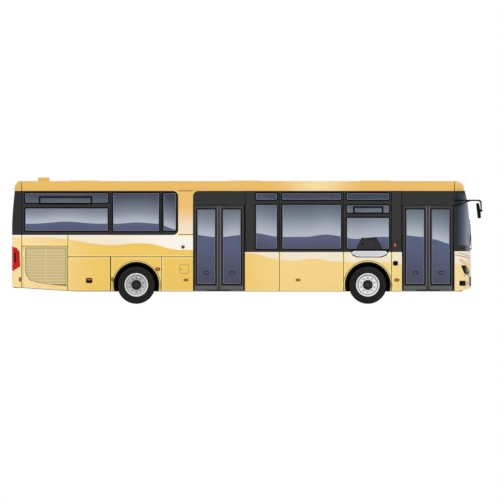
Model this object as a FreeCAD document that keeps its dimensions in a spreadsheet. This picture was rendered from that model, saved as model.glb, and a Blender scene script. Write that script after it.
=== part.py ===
import FreeCAD
import Part
import Sketcher
import math
import os

# City bus. Frame: +X forward, +Y to the bus's left, +Z up, millimetres.
# The origin is on the ground below the middle of the whole length.

V = FreeCAD.Vector
doc = FreeCAD.newDocument("CityBus")

SIZES = {
    # whole vehicle
    "rear_overhang": 3250,
    "wheelbase": 6050,
    "front_overhang": 2700,
    "mirror_reach": 300,
    "body_width": 2550,
    "roof_top": 3215,
    "skirt_low": 327,
    "roof_depth": 259,
    "waist_rear": 1804,
    "waist_front": 1359,
    "cove_radius": 200,
    "wall": 60,
    "roof_wall": 45,
    "groove": 6,
    "groove_deep": 3,
    "seam": 8,
    "fit": 0.3,
    # nose and tail
    "nose_depth": 430,
    "nose_bulge": 120,
    "nose_corner": 300,
    "nose_wall": 45,
    "tail_depth": 250,
    "tail_corner": 150,
    "glass_thick": 6,
    "mask_top": 1380,
    "screen_post": 90,
    "screen_sill": 136,
    "screen_rail": 51,
    # window bands
    "top_rail": 54,
    "sill_rear": 104,
    "sill_front": 79,
    "light_tall": 183,
    "transom": 118,
    "hopper_tall": 262,
    "hopper_bar": 131,
    "slider_tall": 209,
    "window_post": 80,
    "mullion": 50,
    "door_post": 274,
    "pillar": 386,
    "pane_corner": 32,
    "band_corner": 140,
    # floors
    "floor_low": 350,
    "floor_thick": 23,
    "floor_high": 830,
    "engine_deck": 1130,
    "plate": 8,
    "step_from_axle": 1180,
    # wheels
    "tyre_radius": 500,
    "tyre_width": 290,
    "rim_radius": 290,
    "rim_width": 240,
    "hub_radius": 123,
    "arch_radius": 570,
    "arch_lip": 60,
    "wheel_inset": 180,
    "twin_pitch": 336,
    "box_half": 645,
    "box_top": 1130,
    "kingpin_inset": 375,
    "kingpin_radius": 22,
    "spindle_radius": 45,
    "run_fit": 0.05,
    # doorways
    "door_opening": 1360,
    "mid_door_rear": 1481,
    "front_door_gap": 448,
    "header_tall": 368,
    "door_low": 370,
    "door_thick": 36,
    "door_recess": 9,
    "pivot_inset": 25,
    "arm_width": 30,
    "arm_thick": 10,
    "arm_gap": 5,
    "pin_radius": 10,
    "door_glass_low": 520,
    "door_rail": 108,
    "door_stile": 85,
    # side lids
    "lid_thick": 30,
    "lid_gap": 6,
    "hinge_gap": 10,
    "hinge_radius": 4.6,
    "hinge_pin": 2.5,
    "radiator_length": 1147,
    "radiator_from_tail": 42,
    "radiator_low": 346,
    "radiator_top": 1510,
    "grille_low": 480,
    "grille_top": 1464,
    "grille_edge": 64,
    "slat_count": 25,
    "slat_thick": 29,
    "flap_length": 1090,
    "flap_low": 352,
    "flap_top": 1225,
    "engine_lid_low": 520,
    "engine_lid_top": 1640,
    "engine_lid_half": 930,
    # mirrors and roof
    "mirror_tall": 400,
    "mirror_deep": 170,
    "mirror_wide": 220,
    "mirror_arm": 32,
    "mirror_foot": 14,
    "mirror_drop": 975,
    "pod_tall": 97,
    "pod_wide": 300,
    "hatch_size": 780,
    "hatch_tall": 12,
    # saloon
    "seat_wide": 430,
    "seat_tall": 440,
    "seat_deep": 470,
    "seat_back": 570,
    "seat_leg": 180,
    "pole_radius": 17,
}

sheet = doc.addObject("Spreadsheet::Sheet", "Sizes")
for row, (alias, number) in enumerate(SIZES.items(), 1):
    sheet.set(f"A{row}", alias)
    sheet.set(f"B{row}", str(number))
    sheet.setAlias(f"B{row}", alias)
doc.recompute()


class Size:
    """A length that knows its value and the sheet expression behind it."""

    def __init__(self, value, text=None):
        self.value = float(value)
        self.text = text if text else f"({value:.6f})"

    def __add__(self, other):
        other = as_size(other)
        return Size(self.value + other.value, f"({self.text} + {other.text})")

    def __sub__(self, other):
        other = as_size(other)
        return Size(self.value - other.value, f"({self.text} - {other.text})")

    def __mul__(self, other):
        other = as_size(other)
        return Size(self.value * other.value, f"({self.text} * {other.text})")

    def __truediv__(self, other):
        other = as_size(other)
        return Size(self.value / other.value, f"({self.text} / {other.text})")

    def __radd__(self, other):
        return as_size(other) + self

    def __rsub__(self, other):
        return as_size(other) - self

    def __rmul__(self, other):
        return as_size(other) * self

    def __neg__(self):
        return Size(-self.value, f"(0 - {self.text})")

    def __float__(self):
        return self.value


def as_size(item):
    return item if isinstance(item, Size) else Size(item)


def cell(alias):
    return Size(SIZES[alias], "Sizes." + alias)


class Cells:
    """Reads a cell of the sheet as an attribute."""

    def __getattr__(self, alias):
        return cell(alias)


S = Cells()
HIDDEN = []
NODES = {}


def bind(item, name, amount):
    """Bind one property of an object to the sheet."""
    amount = as_size(amount)
    item.setExpression(name, amount.text)


def place(item, x, y, z):
    bind(item, "Placement.Base.x", x)
    bind(item, "Placement.Base.y", y)
    bind(item, "Placement.Base.z", z)


def box(x0, x1, y0, y1, z0, z1):
    """A block between two corners, each bound to the sheet."""
    x0, x1, y0, y1, z0, z1 = [as_size(a) for a in (x0, x1, y0, y1, z0, z1)]
    item = doc.addObject("Part::Box", "Block")
    bind(item, "Length", x1 - x0)
    bind(item, "Width", y1 - y0)
    bind(item, "Height", z1 - z0)
    place(item, x0, y0, z0)
    HIDDEN.append(item)
    return item


def span(a, b):
    """Two places in rising order."""
    a, b = as_size(a), as_size(b)
    return (a, b) if a.value <= b.value else (b, a)


TURNS = {
    "z": FreeCAD.Rotation(),
    "y": FreeCAD.Rotation(V(1, 0, 0), -90),
    "x": FreeCAD.Rotation(V(0, 1, 0), 90),
}


def rod(axis, x, y, z, radius, length):
    """A cylinder from (x, y, z) along a positive axis."""
    item = doc.addObject("Part::Cylinder", "Rod")
    item.Placement = FreeCAD.Placement(V(), TURNS[axis])
    bind(item, "Radius", radius)
    bind(item, "Height", length)
    place(item, x, y, z)
    HIDDEN.append(item)
    return item


PLANES = {"XY": "XY_Plane", "XZ": "XZ_Plane", "YZ": "YZ_Plane"}


def outline(body, plane, points, offset):
    """A closed sketch of straight lines on one of the body's own planes."""
    sketch = body.newObject("Sketcher::SketchObject", "Outline")
    role = PLANES[plane]
    own = [f for f in body.Origin.OriginFeatures if f.Role == role][0]
    sketch.AttachmentSupport = [(own, "")]
    sketch.MapMode = "FlatFace"
    shift = -as_size(offset) if plane == "XZ" else as_size(offset)
    bind(sketch, "AttachmentOffset.Base.z", shift)
    points = [(as_size(a), as_size(b)) for a, b in points]
    count = len(points)
    for n in range(count):
        a, b = points[n], points[(n + 1) % count]
        line = Part.LineSegment(V(a[0].value, a[1].value, 0), V(b[0].value, b[1].value, 0))
        sketch.addGeometry(line)
    for n in range(count):
        sketch.addConstraint(Sketcher.Constraint("Coincident", n, 2, (n + 1) % count, 1))
    for n in range(count):
        for kind, amount in (("DistanceX", points[n][0]), ("DistanceY", points[n][1])):
            index = sketch.addConstraint(
                Sketcher.Constraint(kind, -1, 1, n, 1, amount.value))
            sketch.setExpression(f"Constraints[{index}]", amount.text)
    return sketch


def prism(plane, points, start, end):
    """A padded outline between two values of the axis across its plane."""
    start, end = as_size(start), as_size(end)
    body = doc.addObject("PartDesign::Body", "Pressed")
    base = end if plane == "XZ" else start
    sketch = outline(body, plane, points, base)
    pad = body.newObject("PartDesign::Pad", "Pad")
    pad.Profile = sketch
    bind(pad, "Length", end - start)
    HIDDEN.append(body)
    return body


def turned(points, x, z):
    """A ring about an axis along Y from (y, radius) points."""
    body = doc.addObject("PartDesign::Body", "Turned")
    shifted = [(as_size(y), as_size(r)) for y, r in points]
    sketch = outline(body, "YZ", shifted, 0)
    spin = body.newObject("PartDesign::Revolution", "Revolution")
    spin.Profile = sketch
    spin.ReferenceAxis = (sketch, ["H_Axis"])
    spin.Angle = 360
    body.Tip = spin
    place(body, x, 0, z)
    HIDDEN.append(body)
    return body


def fuse(items):
    items = list(items)
    if len(items) == 1:
        return items[0]
    item = doc.addObject("Part::MultiFuse", "Joined")
    item.Shapes = items
    item.Refine = True
    HIDDEN.append(item)
    return item


def cut(base, tools):
    tools = list(tools)
    item = doc.addObject("Part::Cut", "CutOut")
    item.Base = base
    item.Tool = fuse(tools)
    item.Refine = True
    HIDDEN.append(item)
    return item


def common(first, second):
    item = doc.addObject("Part::Common", "Shared")
    item.Base = first
    item.Tool = second
    HIDDEN.append(item)
    return item


def rounded(base, radius, choose):
    """Fillet the edges of a base that the chooser accepts."""
    base.recompute(True)
    item = doc.addObject("Part::Fillet", "Rounded")
    item.Base = base
    size = float(radius)
    item.Edges = [(n, size, size) for n, e in enumerate(base.Shape.Edges, 1) if choose(e)]
    HIDDEN.append(item)
    return item


def along(axis):
    """A chooser of straight edges that run along one axis."""
    way = {"x": V(1, 0, 0), "y": V(0, 1, 0), "z": V(0, 0, 1)}[axis]

    def choose(edge):
        if len(edge.Vertexes) != 2:
            return False
        run = edge.Vertexes[1].Point - edge.Vertexes[0].Point
        return run.Length > 0 and abs(abs(run.normalize().dot(way)) - 1) < 1e-6
    return choose


def shape_of(shape, name="Formed"):
    """A plain feature for a form that no primitive gives."""
    item = doc.addObject("Part::Feature", name)
    item.Shape = shape
    HIDDEN.append(item)
    return item


def node(name, items):
    """Name one sub-part; its solids stay apart where they do not touch."""
    items = list(items)
    if len(items) == 1:
        item = items[0]
    else:
        item = doc.addObject("Part::Compound", name)
        item.Links = items
    item.Label = name
    NODES[name] = item
    return item


# Places along the bus, all from the same cells.
LENGTH = S.rear_overhang + S.wheelbase + S.front_overhang
X_REAR = -(LENGTH + S.mirror_reach) / 2
X_FRONT = X_REAR + LENGTH
X_AXLE_REAR = X_REAR + S.rear_overhang
X_AXLE_FRONT = X_AXLE_REAR + S.wheelbase
X_TAIL = X_REAR + S.tail_depth
X_NOSE = X_FRONT - S.nose_depth
HALF = S.body_width / 2
INNER = HALF - S.wall
MID0 = X_AXLE_REAR + S.mid_door_rear
MID1 = MID0 + S.door_opening
FRONT1 = X_NOSE - 18
FRONT0 = FRONT1 - S.door_opening
STEP = X_AXLE_REAR + S.step_from_axle
Z_AXLE = S.tyre_radius
Y_WHEEL = HALF - S.wheel_inset
Y_INNER_WHEEL = Y_WHEEL - S.twin_pitch
Y_KINGPIN = HALF - S.kingpin_inset
FLOOR_UNDER = S.floor_low - S.floor_thick
CAB0 = X_AXLE_FRONT + S.box_half + 110
CANT = S.roof_top - S.roof_depth
DOOR_TOP = CANT - S.header_tall
DOOR_GLASS_TOP = DOOR_TOP - S.door_rail
POD_TOP = S.roof_top + S.pod_tall
MIRROR_LOW = S.roof_top - S.mirror_drop
PILLAR = MID0 - S.pillar


# Window bands: where each starts and ends, and the joints between its
# panes as shares of its length. The body panels are jointed below them.
BANDS = {
    "right_rear": (X_TAIL + S.seam, PILLAR, (0.568, 0.893)),
    "right_middle": (MID1, FRONT0, (0.2197, 0.6279, 0.9337)),
    "left_rear": (X_TAIL + S.seam, MID0, (0.5189, 0.816)),
    "left_middle": (MID0, X_NOSE, (0.2003, 0.4284, 0.6565, 0.8495)),
}


def joints(band):
    """The places of a band's pane joints."""
    x0, x1, shares = BANDS[band]
    return [x0 + (x1 - x0) * share for share in shares]


# Side lids and their places.
RAD0 = X_TAIL + S.radiator_from_tail
RAD1 = RAD0 + S.radiator_length
FLAP0 = RAD1 + 30
FLAP1 = FLAP0 + S.flap_length
G = S.lid_gap
HINGE = S.hinge_gap / 2


def hinge(axis, across, inwards, at, spots, radius, pin):
    """Knuckles of a lid's hinge: one list for the lid, one for its frame.

    The axis runs through the point at. The lid lies against across, the
    frame along it, and inwards points to the inside of both.
    """
    lid, frame, bores = [], [], []
    letters = "xyz"
    i, j, k = letters.index(axis), letters.index(across[0]), letters.index(inwards[0])
    for spot in spots:
        for parts, low, high, way in ((lid, -60, -20.5, -1), (lid, 20.5, 60, -1),
                                      (frame, -20, 20, 1)):
            start = [as_size(a) for a in at]
            start[i] = as_size(spot) + low
            parts.append(rod(axis, start[0], start[1], start[2], radius, high - low))
            reach = (HINGE + 1) * (across[1] * way)
            lo, hi = list(start), list(start)
            hi[i] = start[i] + (high - low)
            lo[j], hi[j] = span(start[j], start[j] + reach)
            lo[k], hi[k] = span(start[k], start[k] + as_size(radius) * inwards[1])
            parts.append(box(lo[0], hi[0], lo[1], hi[1], lo[2], hi[2]))
        start = [as_size(a) for a in at]
        start[i] = as_size(spot) - 60
        lid.append(rod(axis, start[0], start[1], start[2], pin, 120))
        start[i] = as_size(spot) - 20
        bores.append(rod(axis, start[0], start[1], start[2], as_size(pin) + S.run_fit, 40))
    return lid, [cut(fuse(frame), bores)]


# Nose and tail: a plan curve, a side profile and the roof's cross-section
# are extruded and their common solid is the outer form.

def plan_face(x_back, x_front, half, corner, bulge, z):
    """A flat face in plan with a bowed front and two rounded corners."""
    flat = half - corner
    if bulge > 1:
        bow = (flat * flat + bulge * bulge) / (2 * bulge)
        centre = x_front - bow
        cx = centre + math.sqrt((bow - corner) ** 2 - flat ** 2)
        angle = math.atan2(flat, cx - centre)
        end = V(centre + bow * math.cos(angle), bow * math.sin(angle), z)
        front = Part.Arc(V(end.x, -end.y, z), V(x_front, 0, z), end).toShape()
    else:
        cx = x_front - corner
        angle = 0.0
        end = V(x_front, flat, z)
        front = Part.LineSegment(V(x_front, -flat, z), end).toShape()
    mid = (angle + math.pi / 2) / 2
    mx, my = cx + corner * math.cos(mid), flat + corner * math.sin(mid)
    edges = [
        Part.LineSegment(V(x_back, -half, z), V(cx, -half, z)).toShape(),
        Part.Arc(V(cx, -half, z), V(mx, -my, z), V(end.x, -end.y, z)).toShape(),
        front,
        Part.Arc(end, V(mx, my, z), V(cx, half, z)).toShape(),
        Part.LineSegment(V(cx, half, z), V(x_back, half, z)).toShape(),
        Part.LineSegment(V(x_back, half, z), V(x_back, -half, z)).toShape(),
    ]
    return Part.Face(Part.Wire(edges))


def roof_shell(x0, x1, half, top, radius, low):
    """A block with its two upper long edges rounded."""
    block = Part.makeBox(x1 - x0, 2 * half, top - low, V(x0, -half, low))
    edges = [e for e in block.Edges
             if abs(e.CenterOfMass.z - top) < 1e-6 and abs(abs(e.CenterOfMass.y) - half) < 1e-6]
    return block.makeFillet(radius, edges)


def side_block(points, x_back, half, low):
    """The side profile extruded across the bus; points are (x, z).

    A straight foot, a smooth screen and one arc over the header.
    """
    brow, over, top = points[-3:]
    curve = Part.BSplineCurve()
    curve.interpolate([V(x, -half, z) for x, z in points[1:-2]])
    foot, knee = points[0], points[1]
    edges = [Part.LineSegment(V(foot[0], -half, foot[1]), V(knee[0], -half, knee[1])).toShape(),
             curve.toShape(),
             Part.Arc(V(brow[0], -half, brow[1]), V(over[0], -half, over[1]),
                      V(top[0], -half, top[1])).toShape(),
             Part.LineSegment(V(top[0], -half, top[1]), V(x_back, -half, top[1])).toShape(),
             Part.LineSegment(V(x_back, -half, top[1]), V(x_back, -half, low)).toShape(),
             Part.LineSegment(V(x_back, -half, low),
                              V(points[0][0], -half, points[0][1])).toShape()]
    return Part.Face(Part.Wire(edges)).extrude(V(0, 2 * half, 0))


LOW = float(S.skirt_low)
TOP = float(S.roof_top)


def meet(plan, profile, back, front, half, top, inset):
    """The solid that an end's plan, side profile and rounded roof share.

    Their sides are tangent, and the kernel can lose the answer in one order, so
    the fullest one is kept. Where it isn't whole, the roof is set a hair wider."""
    cove = float(S.cove_radius) - inset
    for hair in (0.0, 0.005, 0.02):
        roof = roof_shell(back, front + 10, half + hair, top, cove, LOW - 8)
        answers = [plan.common(profile).common(roof), profile.common(roof).common(plan),
                   plan.common(roof).common(profile)]
        best = max(answers, key=lambda shape: shape.Volume)
        if best.isValid() and len(best.Solids) == 1:
            break
    return best


# Profiles of the two ends: how far each lies behind the bumper, as a share
# of the end's depth, at a share of the roof's height.
SCREEN = [(-0.007, 0.3266), (0.030, 0.3984), (0.070, 0.5204), (0.105, 0.6423),
          (0.163, 0.7642), (0.274, 0.8619), (0.372, 0.9145), (0.558, 0.9655), (0.895, 1.0)]
BACK = [(-0.008, 0.6221), (0.032, 0.6843), (0.096, 0.7652), (0.180, 0.8398),
        (0.280, 0.9207), (0.352, 0.9674), (0.712, 1.0)]


def nose_solid(inset, grow=0.0):
    """The nose's outer form moved inwards by inset."""
    half = float(HALF) - inset
    front = float(X_FRONT) - inset
    back = float(X_NOSE) - grow
    top = TOP - inset
    corner = float(S.nose_corner) - inset
    plan = plan_face(back, front, half, corner, float(S.nose_bulge), LOW - 5)
    plan = plan.extrude(V(0, 0, TOP - LOW + 10))
    deep = float(S.nose_depth)
    points = [(front - deep * SCREEN[0][0], LOW - 30)]
    points += [(front - deep * d, TOP * share - inset) for d, share in SCREEN[:-1]]
    points.append((front - deep * SCREEN[-1][0], top))
    profile = side_block(points, back, half + 20, LOW - 20)
    return meet(plan, profile, back, front, half, top, inset)


def tail_solid(inset, grow=0.0):
    """The tail's outer form moved inwards by inset, built facing forwards."""
    half = float(HALF) - inset
    rear = -float(X_REAR) - inset
    back = -float(X_TAIL) - grow
    top = TOP - inset
    corner = float(S.tail_corner) - inset
    plan = plan_face(back, rear, half, corner, 0.0, LOW - 5)
    plan = plan.extrude(V(0, 0, TOP - LOW + 10))
    deep = float(S.tail_depth)
    points = [(rear - deep * BACK[0][0], LOW - 30)]
    points += [(rear - deep * d, TOP * share - inset) for d, share in BACK[:-1]]
    points.append((rear - deep * BACK[-1][0], top))
    profile = side_block(points, back, half + 20, LOW - 20)
    solid = meet(plan, profile, back, rear, half, top, inset)
    return solid.mirror(V(0, 0, 0), V(1, 0, 0))


def nose_cap_form(inset):
    """The header above the windscreen, lofted through plan outlines."""
    cove = float(S.cove_radius) - inset
    half = float(HALF) - inset
    front = float(X_FRONT) - 0.372 * float(S.nose_depth) - inset
    back = float(X_NOSE) - 700
    low = float(CANT) - (20 if inset else 0)
    reach = 0.57 * float(S.nose_depth)
    rows = [(half, front, low)]
    for step in range(7):
        turn = math.radians(15 * step)
        rows.append((half - cove * (1 - math.cos(turn)),
                     front - 20 - (reach - 20) * (1 - math.cos(turn)),
                     TOP - inset - cove + cove * math.sin(turn)))
    wires = []
    for wide, x, z in rows:
        face = plan_face(back, x, wide, 0.8 * float(S.nose_corner), float(S.nose_bulge), z)
        wires.append(face.OuterWire)
    whole = Part.makeLoft(wires, True, True)
    start = float(X_NOSE) - (20 if inset else 0)
    return whole.common(slab(start, float(X_FRONT), low, TOP))


def slab(x0, x1, z0, z1, y0=None, y1=None):
    """A plain block for slicing, across the whole width unless told."""
    wide = float(HALF) + 60
    y0 = -wide if y0 is None else float(y0)
    y1 = wide if y1 is None else float(y1)
    x0, x1, z0, z1 = float(x0), float(x1), float(z0), float(z1)
    return Part.makeBox(x1 - x0, y1 - y0, z1 - z0, V(x0, y0, z0))


def plate_xz(points, y0, y1):
    """A block from an outline seen from the side."""
    y0, y1 = float(y0), float(y1)
    pts = [V(float(x), y0, float(z)) for x, z in points]
    wire = Part.makePolygon(pts + [pts[0]])
    return Part.Face(wire).extrude(V(0, y1 - y0, 0))


NOSE_OUT = nose_solid(0)
NOSE_MID = nose_solid(float(S.glass_thick), 20)
NOSE_IN = nose_solid(float(S.nose_wall), 20)
TAIL_OUT = tail_solid(0)
TAIL_MID = tail_solid(float(S.glass_thick), 20)
TAIL_IN = tail_solid(float(S.nose_wall), 20)
SEAM = float(S.seam)
FIT = float(S.fit)
XN, XF = float(X_NOSE), float(X_FRONT)
XT, XR = float(X_TAIL), float(X_REAR)

# The rear skirt's lower edge rises towards the tail.
RISE = [(XR - 50, LOW - 40), (XR - 50, 446), (XR + 235, 419), (XR + 1256, 353),
        (XR + 1700, LOW), (XR + 1700, LOW - 40)]
SKIRT_CUT = plate_xz(RISE, -float(HALF) - 40, float(HALF) + 40)


def head_lamp(inset, side, gap):
    """The slanted lamp prism at one corner of the nose."""
    pts = [(XF - 260 + gap, 1012 - gap), (XF - 145 - gap, 1012 - gap),
           (XF - 77 - gap, 925 - gap), (XF - 30 - gap, 850 - gap), (XF + 40, 840 - gap),
           (XF + 40, 714 + gap), (XF - 30, 714 + gap), (XF - 182 + gap, 800 + gap),
           (XF - 239 + gap, 944)]
    lo, hi = (-1400, -640 - gap) if side < 0 else (640 + gap, 1400)
    return plate_xz(pts, lo, hi)


def fog_lamp(side, gap):
    pts = [(XF - 307 + gap, 590 - gap), (XF - 290 + gap, 609 - gap),
           (XF - 152 - gap, 609 - gap), (XF - 135 - gap, 590 - gap),
           (XF - 135 - gap, 492 + gap), (XF - 152 - gap, 473 + gap),
           (XF - 290 + gap, 473 + gap), (XF - 307 + gap, 492 + gap)]
    lo, hi = (-1400, -700 - gap) if side < 0 else (700 + gap, 1400)
    return plate_xz(pts, lo, hi)


def build_nose():
    shell = NOSE_OUT.cut(NOSE_IN)
    mask = shell.common(slab(XN, XF + 50, LOW, S.mask_top))
    nose_skirt = plate_xz([(XF - 336, LOW), (XF + 20, LOW + 94), (XF + 20, LOW - 20),
                           (XF - 336, LOW - 20)], -1400, 1400)
    mask = mask.cut(nose_skirt)
    lamps = []
    for side in (-1, 1):
        mask = mask.cut(head_lamp(0, side, 0)).cut(fog_lamp(side, 0))
        lamps.append(shell.common(head_lamp(0, side, FIT)))
        lamps.append(shell.common(fog_lamp(side, FIT)).cut(nose_skirt))
    node("nose_mask", [shape_of(mask)])
    node("front_lamps", [shape_of(s) for s in lamps])
    top = float(CANT)
    ring = NOSE_MID.common(slab(XN, XF + 50, 0, TOP)).cut(NOSE_IN)
    ring = ring.common(slab(XN, XF + 50, float(S.mask_top), top))
    hole = slab(XN + float(S.screen_post), XF + 50,
                float(S.mask_top) + float(S.screen_sill), top - float(S.screen_rail))
    front_frame = ring.cut(hole)
    skin = NOSE_OUT.cut(NOSE_MID).common(
        slab(XN, XF + 50, float(S.mask_top) + SEAM, top - SEAM))
    node("windscreen", [shape_of(skin)])
    return front_frame, nose_cap_form(0).cut(nose_cap_form(float(S.nose_wall)))


def tail_lamp(side, gap):
    pts = [(XR - 20, 1516 - gap), (XR + 130 - gap, 1464 - gap), (XR + 200 - gap, 1359),
           (XR + 214 - gap, 980), (XR + 26, 863 + gap), (XR - 20, 863 + gap)]
    lo, hi = (-1400, -1040 - gap) if side < 0 else (1040 + gap, 1400)
    return plate_xz(pts, lo, hi)


def build_tail():
    shell = TAIL_OUT.cut(TAIL_IN)
    mask = shell.common(slab(XR - 50, XT, LOW, S.waist_rear)).cut(SKIRT_CUT)
    gap = float(S.lid_gap)
    lid_low, lid_top = float(S.engine_lid_low), float(S.engine_lid_top)
    half = float(S.engine_lid_half)
    thick = float(S.lid_thick)
    hinge_gap = float(S.hinge_gap)
    opening = slab(XR - 50, XR + 60, lid_low - gap, lid_top + hinge_gap, -half - gap,
                   half + gap)
    mask = mask.cut(opening)
    lamps = []
    for side in (-1, 1):
        mask = mask.cut(tail_lamp(side, 0))
        lamps.append(shell.common(tail_lamp(side, FIT)))
    sunk = X_REAR + 5
    on_lid, on_frame = hinge("y", ("z", 1), ("x", 1),
                             (sunk, 0, S.engine_lid_top + HINGE),
                             (-S.engine_lid_half + 250, 0, S.engine_lid_half - 250),
                             S.hinge_radius, S.hinge_pin)
    node("tail_mask", [fuse([shape_of(mask)] + on_frame)])
    node("tail_lamps", [shape_of(s) for s in lamps])
    lid = slab(XR + 5, XR + 5 + thick, lid_low, lid_top, -half, half)
    slots = [slab(XR - 5, XR + thick + 15, z, z + 22, -half + 160, half - 160)
             for z in range(int(lid_low) + 140, int(lid_low) + 480, 48)]
    for slot in slots:
        lid = lid.cut(slot)
    node("engine_lid", [fuse([shape_of(lid)] + on_lid)])
    top = float(CANT)
    ring = TAIL_MID.common(slab(XR - 50, XT, 0, TOP)).cut(TAIL_IN)
    ring = ring.common(slab(XR - 50, XT, float(S.waist_rear), top))
    hole = slab(XR - 50, XR + 90, 1950, 2820, -1000, 1000)
    skin = TAIL_OUT.cut(TAIL_MID).common(
        slab(XR - 50, XT, float(S.waist_rear) + SEAM, top - SEAM))
    cap = shell.common(slab(XR - 50, XT, top, TOP + 10))
    return shape_of(ring.cut(hole)), shape_of(skin), cap


front_frame, nose_cap = build_nose()
tail_frame, tail_glass, tail_cap = build_tail()
node("roof_caps", [shape_of(nose_cap), shape_of(tail_cap)])


# Roof: a hollow profile between the caps.
def build_roof():
    outer = rounded(box(X_TAIL + S.seam, X_NOSE - S.seam, -HALF, HALF, CANT - 300,
                        S.roof_top),
                    S.cove_radius, lambda e: along("x")(e) and
                    e.CenterOfMass.z > float(S.roof_top) - 1)
    inner = rounded(box(X_TAIL - 50, X_NOSE + 50, -INNER, INNER, CANT - 400,
                        S.roof_top - S.roof_wall),
                    S.cove_radius - S.wall, lambda e: along("x")(e) and
                    e.CenterOfMass.z > float(S.roof_top - S.roof_wall) - 1)
    low = box(X_TAIL - 10, X_NOSE + 10, -HALF - 10, HALF + 10, CANT - 500, CANT)
    shell = cut(outer, [inner, low])
    top = S.roof_top
    hatches, pods = [], []
    for share in (0.158, 0.508, 0.792):
        x = X_REAR + LENGTH * share
        wide = S.hatch_size / 2
        lid = rounded(box(x - wide, x + wide, -wide, wide, top, top + S.hatch_tall), 8,
                      lambda e: e.CenterOfMass.z > float(S.roof_top) + 1)
        hatches.append(lid)
    x = X_REAR + LENGTH * 0.0567
    pod = rounded(box(x, x + S.pod_wide, -S.pod_wide / 2, S.pod_wide / 2, top, POD_TOP),
                  S.pod_tall * 0.3, lambda e: e.CenterOfMass.z > float(S.roof_top) + 1)
    pods.append(pod)
    node("roof", [shell])
    node("roof_fittings", hatches + pods)


build_roof()


def arch(x):
    """The round wheel opening through both side walls."""
    return rod("y", x, -HALF - 50, Z_AXLE, S.arch_radius, S.body_width + 100)


def skirt_cut():
    return shape_of(SKIRT_CUT)


def grooves(side, band, low, top):
    """Shallow joints between the body panels of one side."""
    y0, y1 = span((HALF - S.groove_deep) * side, (HALF + 10) * side)
    half = S.groove / 2
    return [box(x - half, x + half, y0, y1, low, top) for x in joints(band)]


def lip_groove(x, side):
    """The line round a wheel arch that sets off its lip."""
    y0, y1 = span((HALF - S.groove_deep) * side, (HALF + 10) * side)
    ring = S.arch_radius + S.arch_lip
    outer = rod("y", x, y0, Z_AXLE, ring + S.groove, y1 - y0)
    return cut(outer, [rod("y", x, y0 - 5, Z_AXLE, ring, y1 - y0 + 10)])


def corner_fill(x, z, radius, up, ahead):
    """Body skin that rounds one corner of a black band."""
    x0, x1 = span(x, x + radius * ahead)
    z0, z1 = span(z, z + radius * up)
    return cut(box(x0, x1, -HALF, -INNER, z0, z1),
               [rod("y", x + radius * ahead, -HALF - 5, z + radius * up, radius,
                    S.wall + 10)])


# Side walls below the windows.
RAD_LID, RAD_WALL = hinge("z", ("x", -1), ("y", 1), (RAD0 - HINGE, -HALF, 0),
                          (S.radiator_low + 260, S.radiator_top - 200),
                          S.hinge_radius, S.hinge_pin)
FLAP_LID, FLAP_WALL = hinge("x", ("z", 1), ("y", 1), (0, -HALF, S.flap_top + HINGE),
                            (FLAP0 + 200, FLAP1 - 200), S.hinge_radius, S.hinge_pin)


def build_walls():
    rear = box(X_TAIL + S.seam, MID0, -HALF, -INNER, S.skirt_low, S.waist_rear)
    pillar = box(PILLAR, MID0, -HALF, -INNER, S.waist_rear, CANT)
    fills = [corner_fill(PILLAR, S.waist_rear, S.band_corner, 1, -1),
             corner_fill(PILLAR, CANT, S.band_corner, -1, -1),
             corner_fill(MID0, CANT, S.band_corner, -1, 1)]
    line = S.flap_top + S.hinge_gap / 2
    tools = [arch(X_AXLE_REAR), skirt_cut(), lip_groove(X_AXLE_REAR, -1),
             box(FLAP1 + G - 1, MID0 - 1, -HALF - 10, -HALF + S.groove_deep, line,
                 line + S.groove),
             box(PILLAR, MID0 - 1, -HALF - 10, -HALF + S.groove_deep,
                 S.waist_rear + S.seam, S.waist_rear + S.seam + S.groove),
             grooves(-1, "right_rear", S.skirt_low - 5, line)[1],
             box(RAD0 - S.hinge_gap, RAD1 + G, -HALF - 20, -INNER + 20,
                 S.radiator_low - G, S.radiator_top + G),
             box(FLAP0 - G, FLAP1 + G, -HALF - 20, -INNER + 20, S.flap_low - G,
                 S.flap_top + S.hinge_gap)]
    node("wall_right_rear", [fuse([cut(fuse([rear, pillar] + fills), tools)] + RAD_WALL +
                                  FLAP_WALL)])
    middle = box(MID1, FRONT0, -HALF, -INNER, S.skirt_low, S.waist_front)
    tools = grooves(-1, "right_middle", S.skirt_low - 5, S.waist_front + 5)
    node("wall_right_middle", [cut(middle, [arch(X_AXLE_FRONT),
                                            lip_groove(X_AXLE_FRONT, -1)] + tools)])
    high = box(X_TAIL + S.seam, MID0, INNER, HALF, S.skirt_low, S.waist_rear)
    low = box(MID0, X_NOSE, INNER, HALF, S.skirt_low, S.waist_front)
    tools = [arch(X_AXLE_REAR), arch(X_AXLE_FRONT), skirt_cut(), lip_groove(X_AXLE_REAR, 1),
             lip_groove(X_AXLE_FRONT, 1)]
    tools += grooves(1, "left_rear", S.skirt_low - 5, S.waist_rear + 5)
    tools += grooves(1, "left_middle", S.skirt_low - 5, S.waist_front + 5)
    node("wall_left", [cut(fuse([high, low]), tools)])
    edge = box(FRONT1, X_NOSE, -HALF, -INNER, S.floor_low, CANT)
    return edge


nose_post = build_walls()


# Seals in the joints between the body and its two ends.
def seal(x, low):
    """A hoop of the body's section, a little under the skin."""
    deep = float(S.roof_wall) - 5
    section = roof_shell(x, x + SEAM, float(HALF) - 4, TOP - 4, float(S.cove_radius) - 4,
                         low)
    hollow = roof_shell(x - 1, x + SEAM + 1, float(HALF) - deep, TOP - deep,
                        float(S.cove_radius) - deep, LOW - 50)
    return section.cut(hollow)


node("seam_seals", [shape_of(seal(XT, LOW).cut(SKIRT_CUT)),
                    shape_of(seal(XN - SEAM, float(CANT)))])


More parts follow.
